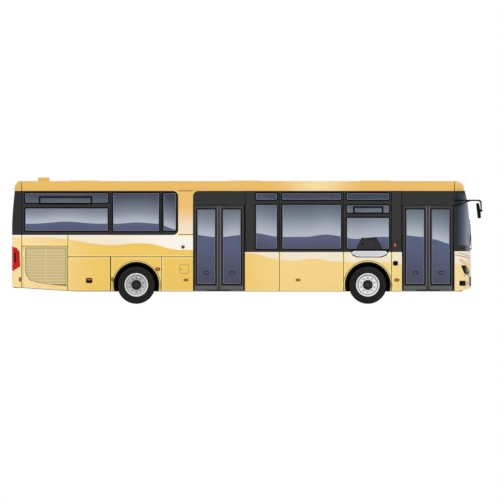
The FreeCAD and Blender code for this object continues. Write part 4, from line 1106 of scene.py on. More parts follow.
@dataclass
class Glazing(Works):
    """Flush panes with printed black borders, gaskets and ground edges."""
    seam: float = 0.008
    thick: float = 0.006
    corner: float = 0.032
    wide: float = 0.016
    sunk: float = 0.0008

    def bands(self) -> dict[Side, list[Band]]:
        """The four bands with the joints of the CAD glass.

        Returns:
            The bands of each flank, from the rear to the front.
        """
        top = CANT - 0.054
        light, sill = (top - 0.183, top), 1.438
        under = light[0] - 0.118
        slider = (under - 0.222, under - 0.013)
        rear = (Pane(0.08, 0.063, ((top - 0.262, top), (1.908, top - 0.393))),
                Pane(0.05, 0.05, ((1.898, top),)), Pane(0.036, 0.05, ((1.908, top),)))
        full = (light, (sill, under))
        tail, pillar, nose = -5.892, -1.805, NOSE_SEAM
        middle, front = DOORWAYS
        return {
            Side.RIGHT: [
                Band(tail, pillar, WAIST, (0.568, 0.893), rear, "rear_side_glass",
                     corner=0.14),
                Band(middle + DOORWAY, front, LOW_WAIST, (0.2197, 0.6279, 0.9337),
                     (Pane(0.274, 0.05, full), Pane(0.062, 0.05, full),
                      Pane(0.074, 0.05, (light, slider, (sill, slider[0] - 0.118))),
                      Pane(0.05, 0.05, ())), "middle_side_glass")],
            Side.LEFT: [
                Band(tail, middle, WAIST, (0.5189, 0.816), rear, "rear_side_glass",
                     (False, True)),
                Band(middle, nose, LOW_WAIST, (0.2003, 0.4284, 0.6565, 0.8495),
                     (Pane(0.05, 0.05, full),) * 4 + (Pane(0.05, 0.05, ((sill, top),)),),
                     "middle_side_glass", (True, False))],
        }

    def build(self) -> None:
        """Builds both flanks."""
        for side, bands in self.bands().items():
            tag = side.name.lower()
            pieces = []
            border, gasket, edge, trim = (bmesh.new() for _ in range(4))
            for n, band in enumerate(bands):
                clear = bmesh.new()
                self.run(side, band, border, clear, gasket, edge)
                pieces.append(self.piece(f"panes_{tag}_{n}", clear, band.glass))
            for band in bands:
                self.trim(side, band, trim)
            for name, shape, finish in (("pane_borders", border, "black_print"),
                                        ("pane_gaskets", gasket, "frame_black"),
                                        ("pane_edges", edge, "ground_edge"),
                                        ("band_trim", trim, "frame_black")):
                pieces.append(self.piece(f"{name}_{tag}", shape, finish))
            for piece in pieces:
                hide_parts(f"glass_{tag}")

    def trim(self, side: Side, band: Band, shape: Shape) -> None:
        """Adds the black edging round one band and the strips over its pane joints.

        Args:
            side: the flank.
            band: the run of panes.
            shape: collects the mesh.
        """
        whole = (band.start, band.end, band.low, CANT)
        low, high = band.low + self.wide, CANT - self.wide
        faces = ((HALF + 0.002) * side.value, (HALF - self.sunk) * side.value)
        corners = [(0.0, r, r, 0.0) for r in (band.corner, max(band.corner - self.wide, 0.0))]
        plate(shape, rounded_rect(*inset(whole, 0.001), corners[0]),
              [rounded_rect(*inset(whole, self.wide), corners[1])], *faces)
        for share in band.joints:
            x = band.start + (band.end - band.start) * share
            plate(shape, rounded_rect(x - 0.009, x + 0.009, low, high, 0.0), [], *faces)

    def run(self, side: Side, band: Band, border: Shape, clear: Shape, gasket: Shape,
            edge: Shape) -> None:
        """Adds the panes of one band.

        Args:
            side: the flank.
            band: the run of panes.
            border: collects the printed borders.
            clear: collects the clear fields.
            gasket: collects the black profiles round the fields.
            edge: collects the pale ground edges of the glass.
        """
        way = side.value
        back = (HALF - self.thick) * way
        places = [band.start + (band.end - band.start) * j for j in (0.0, *band.joints, 1.0)]
        last = len(band.panes) - 1
        for n, pane in enumerate(band.panes):
            a = places[n] + (self.seam / 2 if n or band.gaps[0] else 0.0)
            b = places[n + 1] - (self.seam / 2 if n < last or band.gaps[1] else 0.0)
            r = band.corner if n == last else 0.0
            outer = rounded_rect(a, b, band.low + self.seam, CANT - self.seam,
                                 (0.0, r, r, 0.0))
            boxes = [(a + pane.before, b - pane.after, z0, z1) for z0, z1 in pane.rows]
            fields = [rounded_rect(*box, self.corner) for box in boxes]
            plate(border, outer, fields, HALF * way, back)
            for box, clear_field in zip(boxes, fields):
                plate(clear, clear_field, [], (HALF - 0.0006) * way, back)
                for shape, out, into, proud in ((gasket, 0.024, -0.014, 0.003),
                                                # pale rim of painted highlight just inside the
                                                # gasket
                                                (edge, -0.014, -0.021, 0.0008)):
                    plate(shape, rounded_rect(*inset(box, -out), self.corner + out),
                          [rounded_rect(*inset(box, -into), self.corner + into)],
                          (HALF + proud) * way, (HALF - self.sunk) * way)
        LOG.info("glazing %s: %d panes", side.name, len(band.panes))


@dataclass
class Wheels(Works):
    """Tyres with lugs and walls, rim dress and nut rings."""
    radius: float = 0.5
    carcass: float = 0.49
    bead: float = 0.29
    width: float = 0.29
    lugs: int = 60
    outer: float = 1.095
    inner: float = 0.759
    ring: RingTree = field(default_factory=lambda: RingTree("wheel_ring"))

    def tyre(self, name: str, node: str, x: float, y: float, side: int, body: str) -> None:
        """Builds one tyre: a carcass with rounded walls, and its lugs.

        Args:
            name: the piece's name.
            node: the CAD node that it stands for.
            x: the axle's place.
            y: the tyre's middle.
            side: 1 on the left, -1 on the right.
            body: the body that it rides on.
        """
        w = self.width / 2
        wall = [(0.026, self.bead), (0.010, self.bead + 0.03), (0.001, self.bead + 0.07),
                (0.0, self.bead + 0.11), (0.004, self.carcass - 0.05),
                (0.013, self.carcass - 0.014), (0.026, self.carcass)]
        shape = bmesh.new()
        lathe(shape, [(y - w + a, r) for a, r in wall] + [(y + w - a, r) for a, r in wall[::-1]],
              x, side)
        seed = bmesh.new()
        for k in range(5):
            z0 = -w + 0.026 + k * 0.0485
            slab(seed, (-0.006, -0.0185, z0), (self.radius - self.carcass, 0.0185,
                                               z0 + 0.040), 0.002, 1)
        for piece in (self.piece(name, shape, "tyre_rubber", body, True),
                      self.ring.build(f"{name}_lugs", to_mesh("lug", seed), self.lugs,
                                      self.carcass - 0.0006, self.finishes["tyre_rubber"],
                                      (x, y * side, AXLE_HEIGHT), body)):
            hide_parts(node)

    def dress(self, name: str, x: float, disc: float, face: float, reach: float,
              side: int) -> None:
        """Adds the flange, nuts, cap and cap bolts of one wheel's outer face.

        Args:
            name: the wheel's body and the start of the pieces' names.
            x: the axle's place.
            disc: where the disc's outer face is.
            face: where the hub's end face is.
            reach: the radius of that end face.
            side: 1 on the left, -1 on the right.
        """
        def ring(tag: str, finish: str, start: float, profile: Sequence[Point2],
                 segments: int = 96, smooth: bool = True) -> None:
            """Turns a profile whose y values count from a start.

            Args:
                tag: end of the piece's name.
                finish: name of the finish.
                start: where the profile's y values count from.
                profile: (y, radius) points of the section.
                segments: steps round the axis.
                smooth: True for smooth shading.
            """
            shape = bmesh.new()
            lathe(shape, [(start + a, r) for a, r in profile], x, side, segments)
            self.piece(f"{name}_{tag}", shape, finish, name, smooth)

        def bolts(tag: str, finish: str, count: int, radius: float, y: float,
                  *cones: tuple[int, float, float, float, float]) -> None:
            """Rings small cones: sides, two radii, depth and shift.

            Args:
                tag: end of the piece's name.
                finish: name of the finish.
                count: how many.
                radius: the ring's radius.
                y: their middle.
                cones: the cones of one of them.
            """
            seed = bmesh.new()
            for sides, low, high, deep, shift in cones:
                bmesh.ops.create_cone(seed, cap_ends=True, segments=sides, radius1=low,
                                      radius2=high, depth=deep,
                                      matrix=Matrix.Translation((0.0, 0.0, shift)))
            self.ring.build(f"{name}_{tag}", to_mesh(tag, seed), count, radius,
                            self.finishes[finish], (x, y * side, AXLE_HEIGHT), name)
        ring("flange", "rim_polish", self.outer,
             [(0.104, 0.2785), (0.122, 0.2785), (0.130, 0.281), (0.136, 0.288),
              (0.139, 0.297), (0.138, 0.305), (0.133, 0.308), (0.127, 0.303),
              (0.121, 0.292), (0.104, 0.2905)])
        ring("disc_ring", "hub_grey", disc,
             [(-0.001, 0.262), (0.004, 0.260), (0.006, 0.254), (0.004, 0.248),
              (-0.001, 0.246)])
        deep = -0.070 if disc > 1.0 else -0.20
        ring("drum", "drum_iron", disc,
             [(-0.020, 0.112), (-0.017, 0.118), (-0.017, 0.212), (-0.023, 0.220),
              (deep, 0.220), (deep, 0.112)], smooth=False)
        bolts("nuts", "nut_black", 10, 0.1255, disc + 0.010,
              (6, 0.0175, 0.0165, 0.020, 0.0), (10, 0.0095, 0.008, 0.014, -0.016 * side))
        ring("cap_ring", "hub_grey", face,
             [(-0.001, 0.050), (0.004, 0.051), (0.007, 0.055), (0.007, 0.060),
              (0.004, 0.064), (-0.001, 0.065)], 48)
        bolts("cap_bolts", "nut_steel", 8, reach - 0.010, face + 0.003,
              (6, 0.006, 0.0055, 0.008, 0.0))

    def build(self) -> None:
        """Dresses all wheels."""
        rear, front = AXLES
        for tag, side in (("left", 1), ("right", -1)):
            self.tyre(f"front_tyre_{tag}", f"tyre_front_{tag}", front, self.outer, side,
                      f"front_wheel_{tag}")
            self.dress(f"front_wheel_{tag}", front, 1.157, 1.199, 0.098, side)
            for part, y in (("outer", self.outer), ("inner", self.inner)):
                self.tyre(f"rear_tyre_{part}_{tag}", f"tyres_rear_{tag}", rear, y, side,
                          f"rear_wheel_{tag}")
            self.dress(f"rear_wheel_{tag}", rear, 0.941, 1.112, 0.083, side)


@dataclass
class Flank(Works):
    """Small fittings on the right side: frames, lamps, handles and strips."""
    skin: float = -HALF
    arch: Point2 = (0.564, 0.603)
    grille: tuple[float, float, float, float] = (-5.794, 0.480, 1.051, 0.984)

    def pill(self, name: str, box: Box, proud: float, finish: str, radius: float = 0.01,
             body: str = "chassis") -> None:
        """Adds a small rounded plate on the right skin."""
        self.sheet(name, rounded_rect(*box, radius, 4), [],
                   (self.skin - proud, self.skin + 0.002), finish, body)

    def marker(self, name: str, column: float, row: float, wide: float, tall: float,
               finish: str = "lamp_amber", radius: float = 0.02) -> None:
        """Adds a small lamp: a dark housing with a coloured lens on it.

        Args:
            name: the piece's name.
            column: its middle in the side drawing.
            row: its middle in the side drawing.
            wide: its width in pixels.
            tall: its height in pixels.
            finish: the lens's finish.
            radius: the corners' radius.
        """
        x, z = px(column), py(row)
        w, t = wide * PIXEL / 2, tall * PIXEL / 2
        self.pill(name, (x - w, x + w, z - t, z + t), 0.004, "frame_black", radius)
        self.pill(name + "_lens", (x - w + 0.012, x + w - 0.012, z - t + 0.010, z + t - 0.010),
                  0.009, finish, max(radius - 0.010, 0.004))

    def frame_ring(self, name: str, box: Box, wide: float, proud: float, finish: str,
                   radius: float = 0.03) -> None:
        """Adds a raised frame.

        Args:
            name: the piece's name.
            box: its outer limits.
            wide: the frame's width.
            proud: how far it stands out.
            finish: name of the finish.
            radius: the corners' radius.
        """
        self.sheet(name, rounded_rect(*box, radius),
                   [rounded_rect(*inset(box, wide), max(radius - wide, 0.008))],
                   (self.skin - proud, self.skin + 0.001), finish)

    def arch_trims(self) -> None:
        """Adds the black rubber edging of the four wheel arches."""
        foot = math.asin((AXLE_HEIGHT - LOW) / 0.577)
        angles = [-foot + (math.pi + 2 * foot) * n / 72 for n in range(73)]
        for side in Side:
            for tag, x in zip(("rear", "front"), AXLES):
                outline = [(x + r * math.cos(a), AXLE_HEIGHT + r * math.sin(a))
                           for r, run in ((self.arch[1], angles), (self.arch[0], angles[::-1]))
                           for a in run]
                self.sheet(f"arch_trim_{tag}_{side.name.lower()}", outline, [],
                           ((HALF + 0.004) * side.value, (HALF - 0.012) * side.value),
                           "seal_rubber")

    def grille_screen(self) -> None:
        """Adds the fly screen behind the slats and the line round the grille."""
        left, low, wide, tall = self.grille
        shares = [(0.04, 0.254), (0.12, 0.148), (0.34, 0.085), (0.70, 0.029), (1.0, 0.0),
                  (1.0, 1.0), (0.0, 1.0), (0.0, 0.36)]
        inner, outer = ([(left + wide * (0.5 + (a - 0.5) * grow),
                          low + tall * (0.5 + (b - 0.5) * grow)) for a, b in shares]
                        for grow in (1.0, 1.022))
        self.sheet("grille_screen", inner, [], (self.skin + 0.0265, self.skin + 0.0285),
                   "grille_screen", "radiator_door")
        self.sheet("grille_rim", outer, [inner], (self.skin - 0.0012, self.skin + 0.004),
                   "grille_line", "radiator_door")

    def filler(self) -> None:
        """Adds the panel under the driver's window and the blank light strip."""
        for name, grow, proud, finish in (("filler_rim", 0.018, 0.0034, "frame_black"),
                                          ("filler_panel", 0.0, 0.0044, "gloss_black")):
            self.sheet(name, [(px(357) - grow, py(249)), (px(382) + grow, py(249)),
                              (px(376) + grow * 0.6, py(238.5) + grow),
                              (px(362) - grow * 0.6, py(238.5) + grow)], [],
                       (self.skin - proud, self.skin + 0.001), finish)
        self.frame_ring("filler_flap", drawn(363, 375.5, 247.6, 239.8), 0.008, 0.0062,
                        "frame_black")
        self.pill("filler_latch", drawn(361.9, 363.2, 245, 242.4), 0.0062, "frame_black")
        boat = [(351, 252.4), (353.4, 255.0), (358, 256.8), (381, 256.8), (385.6, 255.0),
                (388, 252.6), (385.4, 250.8), (353.6, 250.8)]
        for name, grow, proud, finish in (("strip_rim", 0.016, 0.003, "frame_black"),
                                          ("strip_boat", -0.006, 0.006, "strip_silver"),
                                          ("strip_inlay", -0.030, 0.0068, "strip_blank")):
            self.sheet(name, [(px(a) + math.copysign(1.0, a - 369.5) * grow,
                               py(b) + math.copysign(1.0, 253.8 - b) * grow)
                              for a, b in boat], [],
                       (self.skin - proud, self.skin + 0.001), finish)

    def build(self) -> None:
        """Builds the fittings."""
        self.arch_trims()
        self.grille_screen()
        self.frame_ring("hopper_frame_rear", drawn(38.7, 92.3, 204.6, 196.2), 0.044, 0.006,
                        "frame_black")
        self.frame_ring("hopper_frame_middle", drawn(353, 383.5, 214, 206.2), 0.044, 0.006,
                        "frame_black")
        self.filler()
        for lamp in (("marker_tail", 20.0, 279.5, 2.2, 4.4),
                     ("marker_rear_low", 112.5, 279.5, 2.2, 4.4),
                     ("lamp_small_rear", 157.7, 269.2, 4.8, 3.4),
                     ("lamp_round", 183.0, 247.0, 3.4, 3.4, "lamp_deep", 0.04),
                     ("marker_door", 186.0, 280.0, 4.6, 2.6, "lamp_amber", 0.03),
                     ("marker_middle", 298.0, 280.0, 4.6, 2.6, "lamp_amber", 0.03),
                     ("marker_front", 396.8, 280.0, 5.0, 3.0, "lamp_amber", 0.03),
                     ("lamp_side_front", 395.0, 245.0, 3.4, 4.0, "lamp_amber", 0.04)):
            self.marker(*lamp)
        self.pill("door_button", drawn(393, 398, 265.5, 261), 0.006, "frame_black", 0.03)
        self.pill("flap_cup", drawn(86, 92.5, 283, 278), 0.0012, "frame_black", 0.04,
                  "service_flap")
        self.pill("flap_grip", drawn(87, 91.5, 280.2, 278.8), 0.006, "lamp_amber", 0.012,
                  "service_flap")
        self.frame_ring("filler_cap_seam", drawn(179.5, 189, 273.5, 264.5), 0.009, 0.0015,
                        "grille_line", 0.05)
        self.pill("filler_cap_key", drawn(180.6, 181.8, 269.6, 268.4), 0.003, "nut_steel",
                  0.014)
        for n, (column, body) in enumerate(((206.5, "mid_rear_leaf"), (232, "mid_front_leaf"),
                                            (415.5, "front_rear_leaf"),
                                            (441.5, "front_front_leaf"))):
            x, z = px(column), py(272.8)
            box = (x - 0.072, x + 0.072, z - 0.042, z + 0.042)
            self.sheet(f"door_pull_{n}", rounded_rect(*box, 0.035, 5),
                       [rounded_rect(*inset(box, 0.014), 0.022, 5)], (-1.2525, -1.258),
                       "frame_black", body)


@dataclass
class Doors(Works):
    """Gaskets, kick panels and meeting strips of the four leaves."""
    face: float = -1.266
    low: float = 0.370
    high: float = 2.588

    def leaf(self, body: str, x0: float, x1: float, way: int) -> None:
        """Dresses one leaf.

        Args:
            body: the leaf's body.
            x0: its rear edge.
            x1: its front edge.
            way: 1 where it meets the other leaf at its front edge, or -1.
        """
        pane = (x0 + 0.085, x1 - 0.085, 0.52, 2.48)
        whole = (x0, x1, self.low, self.high)
        for tag, box, out, inner, radii, y, finish in (
                ("gasket", pane, -0.022, 0.012, (0.03, 0.012), (-0.004, 0.012), "frame_black"),
                # pale rim of painted highlight round the door glass
                ("glass_edge", pane, 0.013, 0.022, (0.012, 0.008), (0.004, 0.012),
                 "ground_edge"),
                ("edge", whole, 0.006, 0.020, (0.006, 0.006), (-0.002, 0.001), "frame_black")):
            self.sheet(f"{body}_{tag}", rounded_rect(*inset(box, out), radii[0]),
                       [rounded_rect(*inset(box, inner), radii[1])],
                       (self.face + y[0], self.face + y[1]), finish, body)
        meets = x1 if way > 0 else x0
        a, b = sorted((meets - 0.012 * way, meets - 0.047 * way))
        for tag, start, end, foot, head, bevel in (
                ("kick", x0 + 0.03, x1 - 0.03, self.low + 0.008, self.low + 0.098, 0.002),
                ("strip", a, b, self.low + 0.01, self.high - 0.02, 0.0015)):
            shape = bmesh.new()
            slab(shape, (start, self.face - 0.003, foot), (end, self.face + 0.002, head),
                 bevel, 1)
            self.piece(f"{body}_{tag}", shape, "rail_grey", body)

    def build(self) -> None:
        """Dresses both doorways."""
        for name, start in (("mid", DOORWAYS[0]), ("front", DOORWAYS[1])):
            end = start + DOORWAY
            middle = (start + end) / 2
            self.leaf(f"{name}_rear_leaf", start + 0.019, middle - 0.004, 1)
            self.leaf(f"{name}_front_leaf", middle + 0.004, end - 0.019, -1)


class Skin:
    """The outer surface of an end, found by looking along the bus.

    FAR is where the rays start, and ELSE is the place taken where they meet nothing.
    """
    FAR = 8.0
    ELSE = 5.7

    def __init__(self, nodes: Sequence[str], way: int) -> None:
        """Reads the CAD meshes of an end.

        Args:
            nodes: names of CAD nodes.
            way: 1 for the front end, -1 for the rear end.
        """
        self.way = way
        self.trees = []
        for name in nodes:
            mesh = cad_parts[name].data
            self.trees.append(BVHTree.FromPolygons([v.co[:] for v in mesh.vertices],
                                                   [tuple(p.vertices) for p in mesh.polygons]))

    def reach(self, y: float, z: float) -> float:
        """Where the surface is at a place across and a height.

        Args:
            y: place across.
            z: height.

        Returns:
            The outermost place met.
        """
        hits = []
        for tree in self.trees:
            spot = tree.ray_cast(Vector((self.FAR * self.way, y, z)),
                                 Vector((-self.way, 0, 0)))[0]
            if spot is not None:
                hits.append(spot.x * self.way)
        return (max(hits) if hits else self.ELSE) * self.way

    def loop(self, shape: Shape, points: Sequence[Point2], stand: float) -> list[Vertex]:
        """Lays points across the end, standing out from its surface."""
        return [shape.verts.new((self.reach(a, b) + stand * self.way, a, b))
                for a, b in points]

    def patch(self, shape: Shape, box: Box, radius: float, proud: float,
              deep: float = 0.004, across: int = 28, rows: int = 10) -> None:
        """Adds a thin panel that follows the surface, with rounded corners.

        Args:
            shape: collects the mesh.
            box: its limits across and in height.
            radius: the corners' radius.
            proud: how far it stands out.
            deep: how far it goes in.
            across: steps across.
            rows: steps in height.
        """
        middle, half = (box[0] + box[1]) / 2, (box[1] - box[0]) / 2
        centre, tall = (box[2] + box[3]) / 2, (box[3] - box[2]) / 2
        spots = []
        for k in range(rows + 1):
            v = -math.cos(math.pi * k / rows) * tall
            over = max(abs(v) - (tall - radius), 0.0)
            wide = half - radius + math.sqrt(max(radius * radius - over * over, 0.0))
            spots.append([(middle + wide * (2 * n / across - 1), centre + v)
                          for n in range(across + 1)])
        front, back = ([self.loop(shape, row, stand) for row in spots]
                       for stand in (proud, -deep))
        for k in range(rows):
            for n in range(across):
                for grid in (front, back):
                    shape.faces.new([grid[k][n], grid[k][n + 1], grid[k + 1][n + 1],
                                     grid[k + 1][n]])
            for n in (0, across):
                shape.faces.new([front[k][n], front[k + 1][n], back[k + 1][n], back[k][n]])
        for n in range(across):
            for k in (0, rows):
                shape.faces.new([front[k][n], front[k][n + 1], back[k][n + 1], back[k][n]])

    def rim(self, shape: Shape, box: Box, radius: float, proud: float,
            wide: float, deep: float = 0.004) -> None:
        """Adds a thin rim of a rounded rectangle that follows the surface.

        Args:
            shape: collects the mesh.
            box: its limits across and in height.
            radius: the corners' radius.
            proud: how far it stands out.
            wide: the rim's width.
            deep: how far it goes in.
        """
        pair = self.refine(rounded_rect(*box, radius, 5),
                           rounded_rect(*inset(box, wide), max(radius - wide, 0.004), 5))
        loops = [self.loop(shape, points, stand) for stand in (proud, -deep) for points in pair]
        count = len(pair[0])
        for n in range(count):
            m = (n + 1) % count
            for a, b in ((0, 1), (1, 3), (3, 2), (2, 0)):
                shape.faces.new([loops[a][n], loops[a][m], loops[b][m], loops[b][n]])

    @staticmethod
    def refine(outer: list[Point2], inner: list[Point2]) -> tuple[list[Point2], list[Point2]]:
        """Divides the long runs of two matching loops.

        Args:
            outer: the outer loop.
            inner: the inner loop.

        Returns:
            The two loops with more points.
        """
        fine: tuple[list[Point2], list[Point2]] = ([], [])
        for n in range(len(outer)):
            m = (n + 1) % len(outer)
            steps = max(1, int(math.dist(outer[n], outer[m]) / 0.05))
            for k in range(steps):
                t = k / steps
                for loop, made in ((outer, fine[0]), (inner, fine[1])):
                    made.append((loop[n][0] * (1 - t) + loop[m][0] * t,
                                 loop[n][1] * (1 - t) + loop[m][1] * t))
        return fine


@dataclass
class Ends(Works):
    """Plates, wipers, lamps and lids of the nose and the tail."""
    nose: Skin = field(default_factory=lambda: Skin(("nose_mask", "windscreen", "roof_caps",
                                                     "front_lamps"), 1))
    tail: Skin = field(default_factory=lambda: Skin(("tail_mask", "glass_rear", "roof_caps",
                                                     "tail_lamps"), -1))

    def panels(self, skin: Skin, both: bool, *rows: tuple) -> None:
        """Adds panels on an end.

        Args:
            skin: the end's surface.
            both: True for one on each side.
            rows: for each its name, box, radius, stand and finish, and the width
                of the rim where only that is left.
        """
        for name, box, radius, proud, finish, *wide in rows:
            shape = bmesh.new()
            for spot in (box, (-box[1], -box[0], box[2], box[3]))[:1 + both]:
                if wide:
                    skin.rim(shape, spot, radius, proud, wide[0])
                else:
                    skin.patch(shape, spot, radius, proud)
            self.piece(name, shape, finish)

    def front(self) -> None:
        """Builds the nose: service lid, intake, plate, lamp bowls, wipers and display."""
        nose = self.nose
        self.panels(nose, False, ("nose_lid_line", (-0.60, 0.60, 0.78, 1.26), 0.07, 0.0012,
                                  "grille_line", 0.006))
        self.panels(nose, True, ("nose_lid_locks", (0.50, 0.53, 0.81, 0.84), 0.014, 0.002,
                                 "nut_steel"))
        self.panels(nose, False,
                    ("intake_panel", (-0.62, 0.62, 0.47, 0.72), 0.05, 0.002, "moulded_black"),
                    *((f"intake_bar_{n}", (-0.58, 0.58, z, z + 0.012), 0.005, 0.004,
                       "door_grey") for n, z in enumerate((0.51, 0.545, 0.58))),
                    ("plate_front", (-0.26, 0.26, 0.615, 0.71), 0.012, 0.004, "plate_white"),
                    ("plate_front_rim", (-0.268, 0.268, 0.607, 0.718), 0.016, 0.006,
                     "moulded_black", 0.012))
        for name, box in (("dip_bowls", (0.74, 0.84, 0.83, 0.93)),
                          ("main_bowls", (0.88, 0.98, 0.84, 0.94)),
                          ("fog_bowls", (0.80, 0.90, 0.49, 0.59))):
            self.panels(nose, True, (name, box, 0.0499, 0.0012, "bowl_dark"),
                        (name + "_rims", box, 0.0499, 0.0024, "lens_bowl", 0.006),
                        (name + "_bulbs", inset(box, 0.028), 0.0219, 0.0022, "bulb_glass"))
        self.panels(nose, True,
                    ("day_lamps", (0.68, 0.88, 0.765, 0.783), 0.008, 0.0012, "lamp_clear"),
                    ("roof_markers_front", (0.30, 0.38, 3.02, 3.045), 0.012, 0.001,
                     "lamp_clear"))
        self.panels(nose, False, ("screen_foot_line", (-1.1, 1.1, 1.386, 1.394), 0.003, 0.002,
                                  "frame_black"))
        for side in Side:
            self.wiper(side)
        shape = bmesh.new()
        slab(shape, (5.40, -0.85, 2.64), (5.62, 0.85, 2.88), 0.02, 3)
        self.piece("destination_box", shape, "display_dark")

    def wiper(self, side: Side) -> None:
        """Builds one wiper: a double arm from its post to an upright blade.

        Args:
            side: the half of the screen that it wipes.
        """
        def on(y: float, z: float, stand: float) -> Point3:
            """A place over the screen."""
            return (self.nose.reach(y * side.value, z) + stand, y * side.value, z)
        shape = bmesh.new()
        tube(shape, [on(0.16, 1.44, -0.01), on(0.16, 1.44, 0.030)], 0.020, 16)
        for shift in (0.0, 0.035):
            tube(shape, [on(0.16 + shift, 1.44, 0.026), on(0.30 + shift, 1.60, 0.030),
                         on(0.46 + shift, 1.80, 0.030)], 0.006, 10)
        tube(shape, [on(0.44, 1.80, 0.030), on(0.52, 1.80, 0.030)], 0.008, 10)
        tag = side.name.lower()
        self.piece(f"wiper_arm_{tag}", shape, "mirror_black", smooth=True)
        blade = bmesh.new()
        rows = [on(0.48 + 0.03 * math.sin(n * 0.5), 1.53 + 0.062 * n, 0.012)
                for n in range(12)]
        tube(blade, rows, 0.008, 8)
        tube(blade, [(x + 0.012, y, z) for x, y, z in rows[2:10]], 0.005, 8)
        self.piece(f"wiper_blade_{tag}", blade, "seal_rubber", smooth=True)

    def rear(self) -> None:
        """Builds the tail: lid dress, plate, stop lamp, reflectors and markers."""
        tail, face = self.tail, -6.145
        self.panels(tail, False, ("stop_lamp_high", (-0.20, 0.20, 1.86, 1.885), 0.01, 0.002,
                                  "lamp_deep"))
        self.panels(tail, True,
                    ("reflectors_rear", (0.98, 1.10, 0.60, 0.64), 0.01, 0.002, "lamp_deep"),
                    ("roof_markers_rear", (0.86, 0.94, 3.00, 3.025), 0.012, 0.004,
                     "lamp_deep"),
                    ("tow_covers", (0.62, 0.74, 0.455, 0.505), 0.015, 0.0012, "grille_line",
                     0.004))
        swap = Matrix(((0, 1, 0, 0), (1, 0, 0, 0), (0, 0, 1, 0), (0, 0, 0, 1)))
        for name, box, radius, proud, finish, *wide in (
                ("lid_press", (-0.84, 0.84, 1.14, 1.56), 0.08, 0.0035, "coach_paint", 0.05),
                ("lid_grip_seat", (-0.22, 0.22, 1.050, 1.105), 0.02, 0.002, "seal_rubber"),
                ("lid_grip", (-0.17, 0.17, 1.068, 1.088), 0.008, 0.0045, "door_grey"),
                ("plate_rear", (-0.26, 0.26, 0.545, 0.640), 0.012, 0.003, "plate_white"),
                ("plate_rear_rim", (-0.270, 0.270, 0.535, 0.650), 0.016, 0.0042,
                 "moulded_black", 0.012)):
            holes = [rounded_rect(*inset(box, w), max(radius - w, 0.004)) for w in wide]
            shape = bmesh.new()
            plate(shape, rounded_rect(*box, radius), holes, face - proud, face + 0.002)
            mesh = to_mesh(name, shape)
            mesh.transform(swap)
            mesh.flip_normals()
            place(name, mesh, self.finishes[finish], "engine_lid")

    def mirror_glass(self) -> None:
        """Adds a looking glass on the back of each mirror head."""
        for side in Side:
            shape = bmesh.new()
            corners = [shape.verts.new((x - out, y * side.value, z)) for out in (0.0025, -0.004)
                       for x, z in ((6.0185, 2.284), (5.983, 2.594)) for y in (1.132, 1.308)]
            for ring in ((0, 1, 3, 2), (4, 6, 7, 5), (0, 4, 5, 1), (1, 5, 7, 3),
                         (3, 7, 6, 2), (2, 6, 4, 0)):
                shape.faces.new([corners[k] for k in ring])
            bmesh.ops.bevel(shape, geom=list(shape.edges), offset=0.0015, segments=2,
                            affect="EDGES")
            self.piece(f"mirror_glass_{side.name.lower()}", shape, "mirror_face")

    def build(self) -> None:
        """Builds both ends."""
        self.front()
        self.rear()
        self.mirror_glass()


@dataclass(frozen=True)
class PadShape:
    """A crowned pad: its size, how its sides pull in, and its sewn channels."""
    length: float
    width: float
    crown: float
    pull: float = 0.035
    channels: tuple[float, ...] = (-0.52, 0.52)
    steps: int = 18

    def point(self, u: float, v: float, top: bool) -> Point3:
        """One point of the pad, flat below and crowned above.

        Args:
            u: place along the length, from -1 to 1.
            v: place across the width, from -1 to 1.
            top: True for the crowned face.

        Returns:
            The point in the pad's own axes, its flat face at 0.
        """
        x = u * self.length / 2 * (1 - self.pull * (1 - v * v) * abs(u) ** 3)
        y = v * self.width / 2 * (1 - self.pull * (1 - u * u) * abs(v) ** 3)
        corner = max(abs(u) ** 6 + abs(v) ** 6 - 1.0, 0.0)
        x *= 1 - 0.05 * corner
        y *= 1 - 0.05 * corner
        if not top:
            return (x, y, 0.0)
        dome = max((1 - abs(u) ** 5) * (1 - abs(v) ** 5), 0.0) ** 0.42
        sewn = sum(math.exp(-((v - c) / 0.05) ** 2) for c in self.channels)
        seam = 0.22 if max(abs(u), abs(v)) < 1 else 0.0
        return (x, y, self.crown * max(dome * (1 - 0.20 * min(sewn, 1.0)), seam * 0.6))

    def add(self, shape: Shape, turn: Matrix) -> None:
        """Adds the pad to a mesh in a place.

        Args:
            shape: collects the mesh.
            turn: the pad's place.
        """
        n = self.steps
        even = [math.sin(math.pi * (k / n - 0.5)) for k in range(n + 1)]
        sheets = []
        for top in (True, False):
            sheets.append([[shape.verts.new(turn @ Vector(self.point(u, v, top)))
                            for v in even] for u in even])
        for sheet in sheets:
            for i in range(n):
                for j in range(n):
                    shape.faces.new([sheet[i][j], sheet[i + 1][j], sheet[i + 1][j + 1],
                                     sheet[i][j + 1]])
        border = ([(i, 0) for i in range(n)] + [(n, j) for j in range(n)] +
                  [(i, n) for i in range(n, 0, -1)] + [(0, j) for j in range(n, 0, -1)])
        for (i, j), (k, m) in zip(border, border[1:] + border[:1]):
            shape.faces.new([sheets[0][i][j], sheets[0][k][m], sheets[1][k][m],
                             sheets[1][i][j]])


